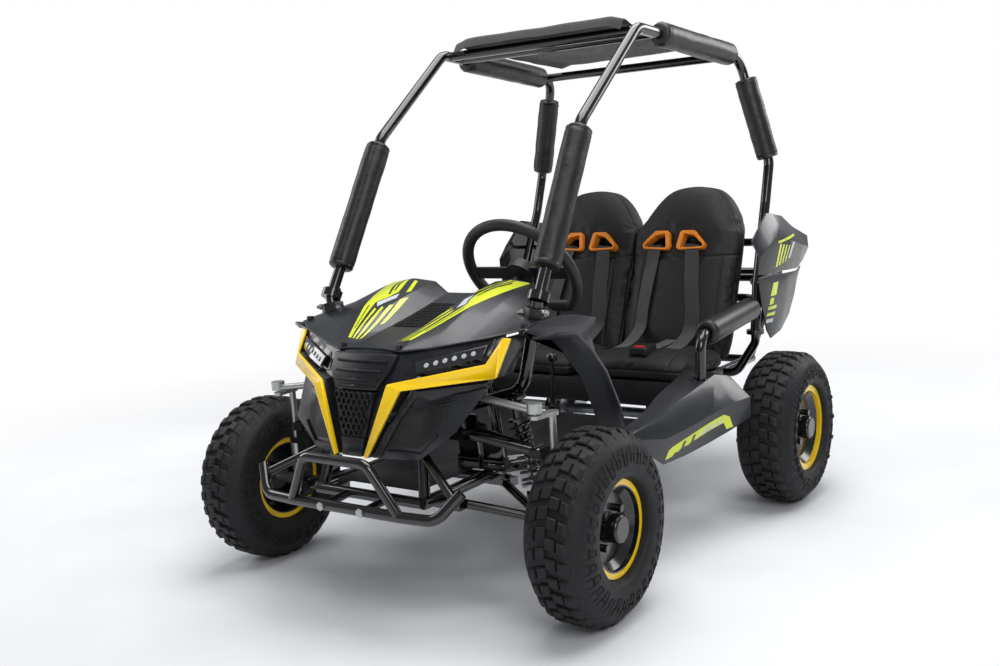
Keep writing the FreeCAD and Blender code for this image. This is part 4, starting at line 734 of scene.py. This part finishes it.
def foam_pad(index, verts):
    middle, way, half, radius = pad_axis(verts)
    side = way.cross(Vector((0, 1, 0.1))).normalized()
    other = way.cross(side)
    rings = 96
    around = 48
    out = []
    for i in range(rings + 1):
        t = -1 + 2 * i / rings
        end = max(0.0, abs(t) - (1 - 0.05)) / 0.05
        for j in range(around):
            turn = 2 * math.pi * j / around
            here = middle + way * (half * t)
            ray = side * math.cos(turn) + other * math.sin(turn)
            bulge = noise.noise(Vector((t * 4, math.cos(turn), index * 7.0 + math.sin(turn))))
            wrinkle = noise.noise(Vector((t * 26, math.cos(turn) * 1.3,
                                          index * 3.0 + math.sin(turn) * 1.3)))
            near_end = max(0.0, abs(t) - 0.78) / 0.22
            r = radius * (0.975 - 0.22 * end * end) + 0.0012 * bulge
            r += 0.0013 * wrinkle * (0.25 + near_end)
            seam = abs((turn - 1.1 + math.pi) % (2 * math.pi) - math.pi) * radius
            r -= groove(seam, 0.004, 0.0022)
            r -= groove(abs(t) * half - half * 0.93, 0.004, 0.0016)
            out.append(here + ray * r)
    faces = []
    for i in range(rings):
        for j in range(around):
            k = (j + 1) % around
            faces.append([i * around + j, i * around + k, (i + 1) * around + k,
                          (i + 1) * around + j])
    faces.append(list(range(around))[::-1])
    faces.append([rings * around + j for j in range(around)])
    made = mesh_object("foam_pad_%d" % index, out, faces, M["foam"], "chassis", 50)
    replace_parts(made, "foam_pads")


for number, part in enumerate(node_parts("foam_pads")):
    foam_pad(number, part[0])


# Canopy
def canopy():
    """One cloth that lies on the roof tubes, with a rolled front and edges that drop at the sides
    and front tip.
    """
    low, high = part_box("roof_canopy")
    half = (high.x - low.x) / 2
    front = low.y
    rear = high.y
    across = 60
    deep = 90
    verts = []
    for i in range(deep + 1):
        t = i / deep
        y = front + 0.004 + (rear - front - 0.008) * t
        slope = high.z - 0.012 - 0.033 * t
        for j in range(across + 1):
            s = -1 + 2 * j / across
            x = s * (half - 0.004)
            lump = noise.noise(Vector((x * 9, y * 9, 2.0))) * 0.0035
            crease = noise.noise(Vector((x * 5 + y * 16, y * 4, 5.0))) * 0.003
            sag = 0.009 * math.sin(math.pi * t) * math.cos(s * math.pi / 2)
            roll = 0.010 * math.exp(-((t - 0.045) / 0.045) ** 2)
            edge = 0.010 * max(0.0, abs(s) - 0.86) / 0.14
            tip = 0.020 * max(0.0, 0.03 - t) / 0.03
            z = slope - 0.004 + roll - edge - tip - sag + lump + crease
            verts.append(Vector((x, y, min(z, high.z - 0.002))))
    faces = []
    m = across + 1
    for i in range(deep):
        for j in range(across):
            k = i * m + j
            faces.append([k, k + 1, k + m + 1, k + m])
    made = mesh_object("canopy_cloth", verts, faces, M["canopy"], None)
    add_modifier(made, "SOLIDIFY", thickness=0.003, offset=-1)
    bake(made)
    smooth_shade(made.data, 60)
    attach(made, "chassis")
    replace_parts(made, "roof_canopy")


canopy()


# Belts
def strap(name, rows, thick=0.0017):
    """Webbing between two edge lines, smoothed."""
    lines = [catmull([at(*p) for p in row], 6) for row in rows]
    verts = []
    for left, right in zip(*lines):
        for k in range(5):
            verts.append(left.lerp(right, k / 4))
    faces = []
    for i in range(len(lines[0]) - 1):
        for j in range(4):
            k = i * 5 + j
            faces.append([k, k + 1, k + 6, k + 5])
    made = mesh_object(name, verts, faces, M["webbing"], None)
    add_modifier(made, "SOLIDIFY", thickness=thick, offset=1)
    bake(made)
    smooth_shade(made.data, 50)
    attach(made, "chassis")
    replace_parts(made, "seat_belts")
    return made


def belt_rows(top, foot):
    """The two edges of a shoulder belt, as (left, back, up) points."""
    def over_back(x, z, lift):
        crown = 34 * max(0.0, 1 - ((x - 175) / 172) ** 2)
        return (x, 972 + 0.42 * (z - 366) - crown - lift, z)

    def over_cushion(x, back, lift):
        crown = 14 * max(0.0, 1 - ((x - 175) / 172) ** 2)
        return (x, back, 402 + crown + lift)

    rows = []
    for edge in (-21, 21):
        x = top + edge
        rows.append([(x, 1192, 682), (x, 1187, 673), (x, 1174.4, 669.2), (x, 1150, 667),
                     (x, 1069, 687.5), (x, 1062, 682),
                     over_back(top * 0.7 + foot * 0.3 + edge, 630, 13),
                     over_back(top * 0.4 + foot * 0.6 + edge, 570, 17),
                     over_back(foot + edge, 500, 13), over_back(foot + edge, 452, 13),
                     over_cushion(foot + edge, 905, 10), over_cushion(foot + edge, 850, 4)])
    return rows


RIM_GROWTH = 1.18


def slot_rims():
    """The belt slots' orange rims, wider across the seat than the plain ones."""
    for k, (verts, faces) in enumerate(node_parts("belt_hole_rims")):
        middle = sum(verts, Vector()) / len(verts)
        grown = []
        for v in verts:
            d = v - middle
            grown.append(middle + Vector((d.x * RIM_GROWTH, d.y * 1.3 - 0.004, d.z * 1.3)))
        made = mesh_object("slot_rim_%d" % k, grown, faces, M["orange"])
        add_modifier(made, "BEVEL", width=0.0016, segments=3, limit_method="ANGLE",
                     angle_limit=math.radians(30))
        bake(made)
        smooth_shade(made.data, 40)
        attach(made, "chassis")
        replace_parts(made, "belt_hole_rims")


slot_rims()


def belts():
    made = []
    for side in (1, -1):
        for k, (top, foot) in enumerate(((88, 74), (208, 238))):
            rows = [[(side * x, y, z) for x, y, z in row] for row in belt_rows(top, foot)]
            if side < 0:
                rows.reverse()
            made.append(strap("shoulder_belt_%d_%s" % (k, "left" if side > 0 else "right"),
                              rows))
        lap = [[(side * x, y, z) for y, z in ((788, 422), (850, 420), (946, 424))]
               for x in (172, 210)]
        if side < 0:
            lap.reverse()
        made.append(strap("lap_belt_" + ("left" if side > 0 else "right"), lap))
    return made


belts()


# Hood
HOOD_LINES = ((0, -126, 573, 219, 649, -4), (45, -128, 573, 222, 649, -4),
              (89, -130, 569, 232, 675, 14), (150, -100, 573, 225, 683, 20),
              (206, -70, 582, 209, 674, 12), (255, -45, 590, 165, 642, 8),
              (320, 0, 604, 130, 618, 2))
HOOD_THICK = 0.004


def hood_point(line, share):
    x, front, low, rear, high, crown = line
    return at(x, front + (rear - front) * share,
              low + (high - low) * share + 4 * crown * share * (1 - share))


def hood_shell():
    """The hood's folded skin, smooth along its length and with soft folds across."""
    steps = 16
    soft = 0.12
    columns = []
    for near, far in zip(HOOD_LINES, HOOD_LINES[1:]):
        columns += [(near, far, 0.0), (near, far, soft), (near, far, 1 - soft)]
    columns.append((HOOD_LINES[-2], HOOD_LINES[-1], 1.0))
    rows = []
    for i in range(steps + 1):
        row = [hood_point(a, i / steps).lerp(hood_point(b, i / steps), t)
               for a, b, t in columns]
        rows.append([Vector((-v.x, v.y, v.z)) for v in reversed(row[1:])] + row)
    m = len(rows[0])
    verts = [v for row in rows for v in row]
    faces = [[i * m + j, i * m + j + 1, (i + 1) * m + j + 1, (i + 1) * m + j]
             for i in range(steps) for j in range(m - 1)]
    made = mesh_object("hood_shell", verts, faces, M["body"], None)
    up = sum(p.normal.z for p in made.data.polygons) > 0
    add_modifier(made, "SUBSURF", levels=2, render_levels=2, boundary_smooth="PRESERVE_CORNERS")
    add_modifier(made, "SOLIDIFY", thickness=HOOD_THICK, offset=-1 if up else 1)
    add_modifier(made, "BEVEL", width=0.001, segments=2, limit_method="ANGLE",
                 angle_limit=math.radians(50))
    bake(made)
    smooth_shade(made.data, 40)
    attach(made, "chassis")
    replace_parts(made, "hood")
    return made


# Rounded rigid pieces
ROUNDED = (("nose_cowl", 0.0016), ("front_fenders", 0.0016), ("side_panels", 0.0018),
           ("rear_panels", 0.0018), ("side_bolsters", 0.003), ("seat_base", 0.002),
           ("grille_blades", 0.0018), ("grille_shield", 0.0016), ("fuel_tank", 0.004),
           ("engine", 0.0012), ("buckle_bodies", 0.001), ("headlight_lenses", 0.0012),
           ("floor_pan", 0.001))
pieces = {node: dressed(node, edge) for node, edge in ROUNDED}
pieces["hood"] = hood_shell()


def bolt_heads():
    """The clamp blocks stay black and the small bolt heads beside them are zinc."""
    parts = node_parts("collars_and_bolts")
    made = []
    for k, (verts, faces) in enumerate(parts):
        size = max(max(v[a] for v in verts) - min(v[a] for v in verts) for a in range(3))
        low = min(v.z for v in verts)
        zinc = size < 0.03 and not 0.5 < low < 0.7
        piece = mesh_object("clamp_part_%d" % k, verts, faces, M["zinc" if zinc else "trim"])
        add_modifier(piece, "BEVEL", width=0.0009, segments=2, limit_method="ANGLE",
                     angle_limit=math.radians(30))
        bake(piece)
        smooth_shade(piece.data, 35)
        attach(piece, "chassis")
        made.append(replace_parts(piece, "collars_and_bolts"))
    return made


def clamp_studs():
    """Two plated nuts stand out of each pillar clamp, to either side of the tube."""
    for verts, _ in node_parts("collars_and_bolts"):
        low = Vector([min(v[a] for v in verts) for a in range(3)])
        high = Vector([max(v[a] for v in verts) for a in range(3)])
        if max(high - low) < 0.04:
            continue
        middle = (low + high) / 2
        for step in (-1, 1):
            way = Vector((step, -0.35, 0.0)).normalized()
            start = middle + way * 0.02
            points = []
            for reach, radius in ((0.0, 0.0075), (0.014, 0.0075), (0.014, 0.0045),
                                  (0.021, 0.0045)):
                for j in range(6):
                    turn = math.radians(60 * j)
                    side = way.cross(Vector((0, 0, 1))).normalized()
                    points.append(start + way * reach + side * (radius * math.cos(turn))
                                  + Vector((0, 0, 1)) * (radius * math.sin(turn)))
            faces = [[r * 6 + j, r * 6 + (j + 1) % 6, r * 6 + 6 + (j + 1) % 6, r * 6 + 6 + j]
                     for r in range(3) for j in range(6)]
            faces += [list(range(5, -1, -1)), list(range(18, 24))]
            mesh_object("clamp_nut", points, faces, M["zinc"], "chassis", 30)


def coil(side):
    """A shock's spring, copied as one smooth shaded piece."""
    node = "shock_spring_" + side
    work = merged(node)
    made = linked(node + "_coil", work, nodes[node].data.materials[0])
    mesh = made.data
    smooth_shade(mesh, 60)
    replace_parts(made, node)
    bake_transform(made)


bolt_heads()
clamp_studs()
coil("left")
coil("right")
trees = {node: surface_tree(made) for node, made in pieces.items()}
trees["grille_mesh"] = surface_tree(nodes["grille_mesh"])


# Graphics
BAND_INNER = ((-100, 44), (-30, 52), (30, 62), (90, 74), (158, 90), (215, 106))
BAND_OUTER = ((-92, 90), (-40, 116), (33, 150), (106, 176), (200, 206), (215, 208))


def between(table, place):
    """Reads a line of (place, value) corners."""
    for (a, p), (b, q) in zip(table, table[1:]):
        if place <= b:
            return p + (q - p) * (place - a) / (b - a)
    return table[-1][1]


def band_point(side, along_it, across):
    """A point on a hump's printed band: front to rear, inner edge to outer edge."""
    back = -90 + 298 * along_it
    inner = between(BAND_INNER, back)
    outer = between(BAND_OUTER, back)
    p = at(side * (inner + (outer - inner) * across), back, 0)
    return p.x, p.y


def dense(corners, steps=6):
    """More points along an outline, so that it bends with the surface below."""
    points = []
    for (a, b), (c, d) in zip(corners, corners[1:] + corners[:1]):
        points += [(a + (c - a) * k / steps, b + (d - b) * k / steps) for k in range(steps)]
    return points


HOOD_PRINT = (
    ("lime", ((0.0, 0.80), (0.0, 0.99), (0.5, 0.99), (1.0, 0.99), (1.0, 0.46), (0.72, 0.36),
              (0.6, 0.5), (0.5, 0.72))),
    ("lime", ((0.0, 0.62), (0.0, 0.71), (0.42, 0.62), (0.4, 0.54))),
    ("lime", ((0.0, 0.42), (0.0, 0.51), (0.46, 0.44), (0.44, 0.36))),
    ("lime", ((0.04, 0.22), (0.0, 0.3), (0.5, 0.26), (0.52, 0.18))),
    ("lime", ((0.3, 0.04), (0.26, 0.11), (0.62, 0.14), (0.7, 0.02))),
    ("pale", ((0.44, 0.58), (0.62, 0.26), (0.70, 0.3), (0.58, 0.5), (0.5, 0.68))),
    ("lime", ((0.78, 0.08), (0.74, 0.17), (1.0, 0.3), (1.0, 0.2))),
)
HOOD_INK = (((0.66, 0.52), (0.64, 0.56), (0.92, 0.72), (0.94, 0.66)),
            ((0.74, 0.48), (0.72, 0.51), (0.98, 0.62), (0.99, 0.57)),
            ((0.12, 0.86), (0.12, 0.89), (0.44, 0.86), (0.44, 0.83)))


def hood_graphics():
    for side, word in ((1, "left"), (-1, "right")):
        for k, (colour, corners) in enumerate(HOOD_PRINT):
            outline = [band_point(side, a, b) for a, b in dense(list(corners))]
            lift = 0.0008 if colour == "pale" else 0.0005
            decal("hood_print_%s_%d" % (word, k), trees["hood"], outline, "xy", M[colour], lift)
        for k, corners in enumerate(HOOD_INK):
            outline = [band_point(side, a, b) for a, b in dense(list(corners))]
            decal("hood_ink_%s_%d" % (word, k), trees["hood"], outline, "xy", M["ink"], 0.0011)


def flat_outline(points):
    """(across, back) millimetres on the hood, as row frame metres."""
    return [tuple(at(x, back, 0))[:2] for x, back in points]


def hood_vent():
    """A dark insert in the middle valley with a net of thin ribs."""
    well = flat_outline(((-40, 6), (40, 6), (36, 150), (-36, 150)))
    decal("vent_insert", trees["hood"], dense(well, 4), "xy", M["ink"], 0.0004, thick=0.0012)
    for k in range(15):
        back = 12 + 9.4 * k
        outline = flat_outline(((-38, back), (38, back), (38, back + 2.2), (-38, back + 2.2)))
        decal("vent_rib_%d" % k, trees["hood"], dense(outline, 3), "xy", M["trim"], 0.0016,
              thick=0.0016)
    for k in range(5):
        x = -29 + 14.5 * k
        outline = flat_outline(((x - 0.9, 8), (x + 0.9, 8), (x + 0.9, 148), (x - 0.9, 148)))
        decal("vent_bar_%d" % k, trees["hood"], dense(outline, 6), "xy", M["trim"], 0.0015,
              thick=0.0012)


def side_outline(points):
    """(back, up) millimetres on a side, as row frame metres."""
    return [(back * MM + FRONT_AXLE_Y, z * MM) for back, z in points]


def slanted(start, low, wide, high, lean):
    """A leaning bar: its lower front corner, width, height and lean."""
    return ((start, low), (start + wide, low), (start + wide + lean, low + high),
            (start + lean, low + high))


def panel_graphics():
    """Generic slanted stripes where the real panels carry lettering."""
    for plane, word in (("yz+", "left"), ("yz-", "right")):
        def lay(node, name, points, colour, lift=0.0006):
            decal("%s_%s" % (name, word), trees[node], dense(side_outline(points), 5), plane,
                  M[colour], lift)
        lay("side_panels", "rocker_field",
            ((352, 248), (364, 269), (380, 274), (608, 303), (634, 293), (652, 263),
             (626, 262), (612, 281), (392, 256), (384, 250)), "lime")
        for k in range(5):
            rise = 0.127 * (k * 22)
            lay("side_panels", "rocker_bar_%d" % k,
                slanted(398 + 22 * k, 256 + rise, 13, 17, 9), "ink" if k % 2 else "lime", 0.0009)
        for k in range(5):
            rise = 0.127 * (116 + k * 20)
            lay("side_panels", "rocker_slash_%d" % k,
                slanted(514 + 20 * k, 256 + rise, 11 - k, 15, 9), "pale", 0.0009)
        for k in range(4):
            lay("rear_panels", "rear_top_bar_%d" % k,
                slanted(1102 + 24 * k, 618 + 3 * k, 15 - 2 * k, 62 - 6 * k, 34), "lime")
        lay("rear_panels", "rear_top_pale", slanted(1200, 634, 20, 44, 40), "pale")
        lay("rear_panels", "rear_top_edge", ((1120, 690), (1280, 700), (1284, 694), (1126, 683)),
            "lime")
        lay("rear_panels", "rear_low_1", slanted(1078, 538, 40, 36, 16), "lime")
        lay("rear_panels", "rear_low_2", slanted(1066, 500, 52, 9, 4), "lime")
        lay("rear_panels", "rear_low_3", slanted(1064, 482, 46, 9, 4), "lime")
        lay("rear_panels", "rear_low_4", slanted(1064, 462, 34, 11, 4), "pale")
        lay("rear_panels", "rear_low_5", slanted(1072, 514, 22, 18, 8), "lime")


def front_outline(points):
    """(across, up) millimetres seen from the front, as row frame metres."""
    return [(x * MM, z * MM) for x, z in points]


def strip(points, width):
    """The outline of a bent strip that starts on a line and widens to its right."""
    far = []
    for k, (x, z) in enumerate(points):
        a = points[max(0, k - 1)]
        b = points[min(len(points) - 1, k + 1)]
        way = Vector((b[0] - a[0], b[1] - a[1])).normalized()
        far.append((x + way.y * width, z - way.x * width))
    return list(points) + far[::-1]


BLADE_EDGE = ((50, 350), (126, 489), (293, 503), (308, 582))


def nose_trim():
    for side, word in ((1, "left"), (-1, "right")):
        def lay(name, points, colour, thick, lift=0.0003, node="nose_cowl"):
            outline = front_outline([(side * x, z) for x, z in points])
            decal("%s_%s" % (name, word), trees[node], dense(outline, 5), "xz", M[colour],
                  lift, thick=thick)
        lay("blade_guard", strip(BLADE_EDGE, 13), "trim", 0.010)
        lay("cheek_top", strip(((92, 446), (206, 470)), 5), "trim", 0.005)
        lay("cheek_inner", strip(((72, 372), (92, 446)), 5), "trim", 0.005)
        lay("cheek_low", strip(((78, 366), (150, 362), (186, 404)), 4), "trim", 0.004)
        lay("cheek_well", ((96, 436), (196, 458), (184, 410), (146, 370), (84, 376)), "dark",
            0.001)
        lay("lamp_well", ((104, 522), (124, 556), (268, 586), (262, 548), (250, 540), (140, 516)),
            "ink", 0.0012)
        for k in range(6):
            middle = (154 + 17 * k, 540 + 3.9 * k)
            ring = [(middle[0] + 4.6 * math.cos(turn), middle[1] + 4.6 * math.sin(turn))
                    for turn in (math.radians(30 * j) for j in range(12))]
            lay("led_%d" % k, ring, "led", 0.002, 0.001, "headlight_lenses")
    for k, (z, half) in enumerate(((550, 72), (531, 66), (513, 60), (500, 55))):
        outline = front_outline(((-half, z), (half, z), (half - 1, z - 4), (1 - half, z - 4)))
        decal("shield_rib_%d" % k, trees["grille_shield"], dense(outline, 6), "xz", M["trim"],
              0.0002, thick=0.003)


def honeycomb():
    """Raised six-sided cells on the grille plate."""
    outer, inner, deep = 0.0086, 0.0066, 0.005
    verts = []
    faces = []
    tree = trees["grille_mesh"]
    for row in range(8):
        z = 0.402 + row * 0.0131
        half = 0.034 + (z - 0.394) / 0.094 * 0.022 - 0.008
        for k in range(-4, 5):
            x = k * 0.0151 + (0.00755 if row % 2 else 0)
            if abs(x) > half or z > 0.483:
                continue
            hit = tree.ray_cast(Vector((x, -3, z)), Vector((0, 1, 0)))[0]
            if hit is None:
                continue
            first = len(verts)
            for radius, y in ((outer, 0.0005), (outer - 0.0006, -deep), (inner, -deep),
                              (inner - 0.0008, 0.0005)):
                for j in range(6):
                    turn = math.radians(60 * j + 30)
                    verts.append(Vector((x + radius * math.cos(turn), hit.y + y,
                                         z + radius * math.sin(turn))))
            for ring in range(3):
                for j in range(6):
                    a = first + ring * 6
                    faces.append([a + j, a + (j + 1) % 6, a + 6 + (j + 1) % 6, a + 6 + j])
    mesh_object("honeycomb", verts, faces, M["trim"], "chassis", 30)


hood_graphics()
hood_vent()
panel_graphics()
nose_trim()
honeycomb()


# Stage
def stage_floor():
    mesh = bpy.data.meshes.new("floor")
    mesh.from_pydata([(-14, -14, 0), (14, -14, 0), (14, 14, 0), (-14, 14, 0)], [],
                     [(0, 1, 2, 3)])
    floor = bpy.data.objects.new("floor", mesh)
    bpy.context.scene.collection.objects.link(floor)
    n = Nodes("studio_floor")
    n.shader.inputs["Base Color"].default_value = (0.78, 0.79, 0.80, 1)
    n.shader.inputs["Roughness"].default_value = 0.75
    n.link(n.ramp(n.noise(1.4, 5.0), (0.72, 0.73, 0.75, 1), (0.80, 0.81, 0.82, 1)),
           n.shader.inputs["Base Color"])
    white = n.add("ShaderNodeEmission", strength=1.0)
    white.inputs["Color"].default_value = (1, 1, 1, 1)
    away = n.add("ShaderNodeVectorMath", operation="LENGTH")
    n.link(n.place, away.inputs[0])
    fade = n.add("ShaderNodeMapRange", interpolation_type="SMOOTHSTEP")
    fade.inputs["From Min"].default_value = 1.1
    fade.inputs["From Max"].default_value = 3.2
    n.link(away.outputs["Value"], fade.inputs["Value"])
    mix = n.add("ShaderNodeMixShader")
    n.link(fade.outputs["Result"], mix.inputs[0])
    n.link(n.shader.outputs[0], mix.inputs[1])
    n.link(white.outputs[0], mix.inputs[2])
    n.link(mix.outputs[0], n.tree.nodes["Material Output"].inputs["Surface"])
    mesh.materials.append(n.material)


def lamp(name, place, aim, size, power):
    data = bpy.data.lights.new(name, "AREA")
    data.shape = "RECTANGLE"
    data.size, data.size_y = size
    data.energy = power
    made = bpy.data.objects.new(name, data)
    made.location = place
    made.rotation_mode = "QUATERNION"
    made.rotation_quaternion = (Vector(aim) - Vector(place)).to_track_quat("-Z", "Y")
    bpy.context.scene.collection.objects.link(made)


def world():
    made = bpy.data.worlds.new("studio")
    bpy.context.scene.world = made
    made.use_nodes = True
    tree = made.node_tree
    base = tree.nodes["Background"]
    base.inputs["Color"].default_value = (0.9, 0.93, 1.0, 1)
    base.inputs["Strength"].default_value = 0.3
    seen = tree.nodes.new("ShaderNodeBackground")
    seen.inputs["Color"].default_value = (1, 1, 1, 1)
    seen.inputs["Strength"].default_value = 1.0
    path = tree.nodes.new("ShaderNodeLightPath")
    mix = tree.nodes.new("ShaderNodeMixShader")
    tree.links.new(path.outputs["Is Camera Ray"], mix.inputs[0])
    tree.links.new(base.outputs[0], mix.inputs[1])
    tree.links.new(seen.outputs[0], mix.inputs[2])
    tree.links.new(mix.outputs[0], tree.nodes["World Output"].inputs["Surface"])


FOCAL_PIXELS = 1069.87
PICTURE_WIDTH = 1000
SENSOR_WIDTH = 36.0


def camera():
    yaw, pitch, roll = -0.617407446, -0.144447436, -0.0611955803
    forward = Vector((math.sin(yaw) * math.cos(pitch), math.cos(yaw) * math.cos(pitch),
                      math.sin(pitch)))
    right = Vector((math.cos(yaw), -math.sin(yaw), 0))
    up = right.cross(forward)
    across = right * math.cos(roll) + up * math.sin(roll)
    above = right * -math.sin(roll) + up * math.cos(roll)
    data = bpy.data.cameras.new("camera")
    data.sensor_width = 36.0
    data.sensor_fit = "HORIZONTAL"
    data.lens = FOCAL_PIXELS / PICTURE_WIDTH * SENSOR_WIDTH
    made = bpy.data.objects.new("camera", data)
    bpy.context.scene.collection.objects.link(made)
    turn = Matrix((across, above, -forward)).transposed().to_4x4()
    made.matrix_world = Matrix.Translation(at(1547.0, -1813.8, 917.06)) @ turn
    bpy.context.scene.camera = made


stage_floor()
world()
camera()
lamp("overhead", (0.2, 0.2, 3.4), (0, 0, 0.5), (3.4, 2.6), 120)
lamp("front", (2.6, -2.6, 2.4), (0, -0.3, 0.5), (1.6, 1.6), 45)
lamp("side", (-3.0, -0.8, 1.9), (0, 0, 0.6), (1.2, 2.2), 30)
lamp("behind", (1.8, 3.0, 2.2), (0, 0.2, 0.7), (2.0, 1.4), 45)
bpy.context.scene.view_settings.view_transform = "Standard"
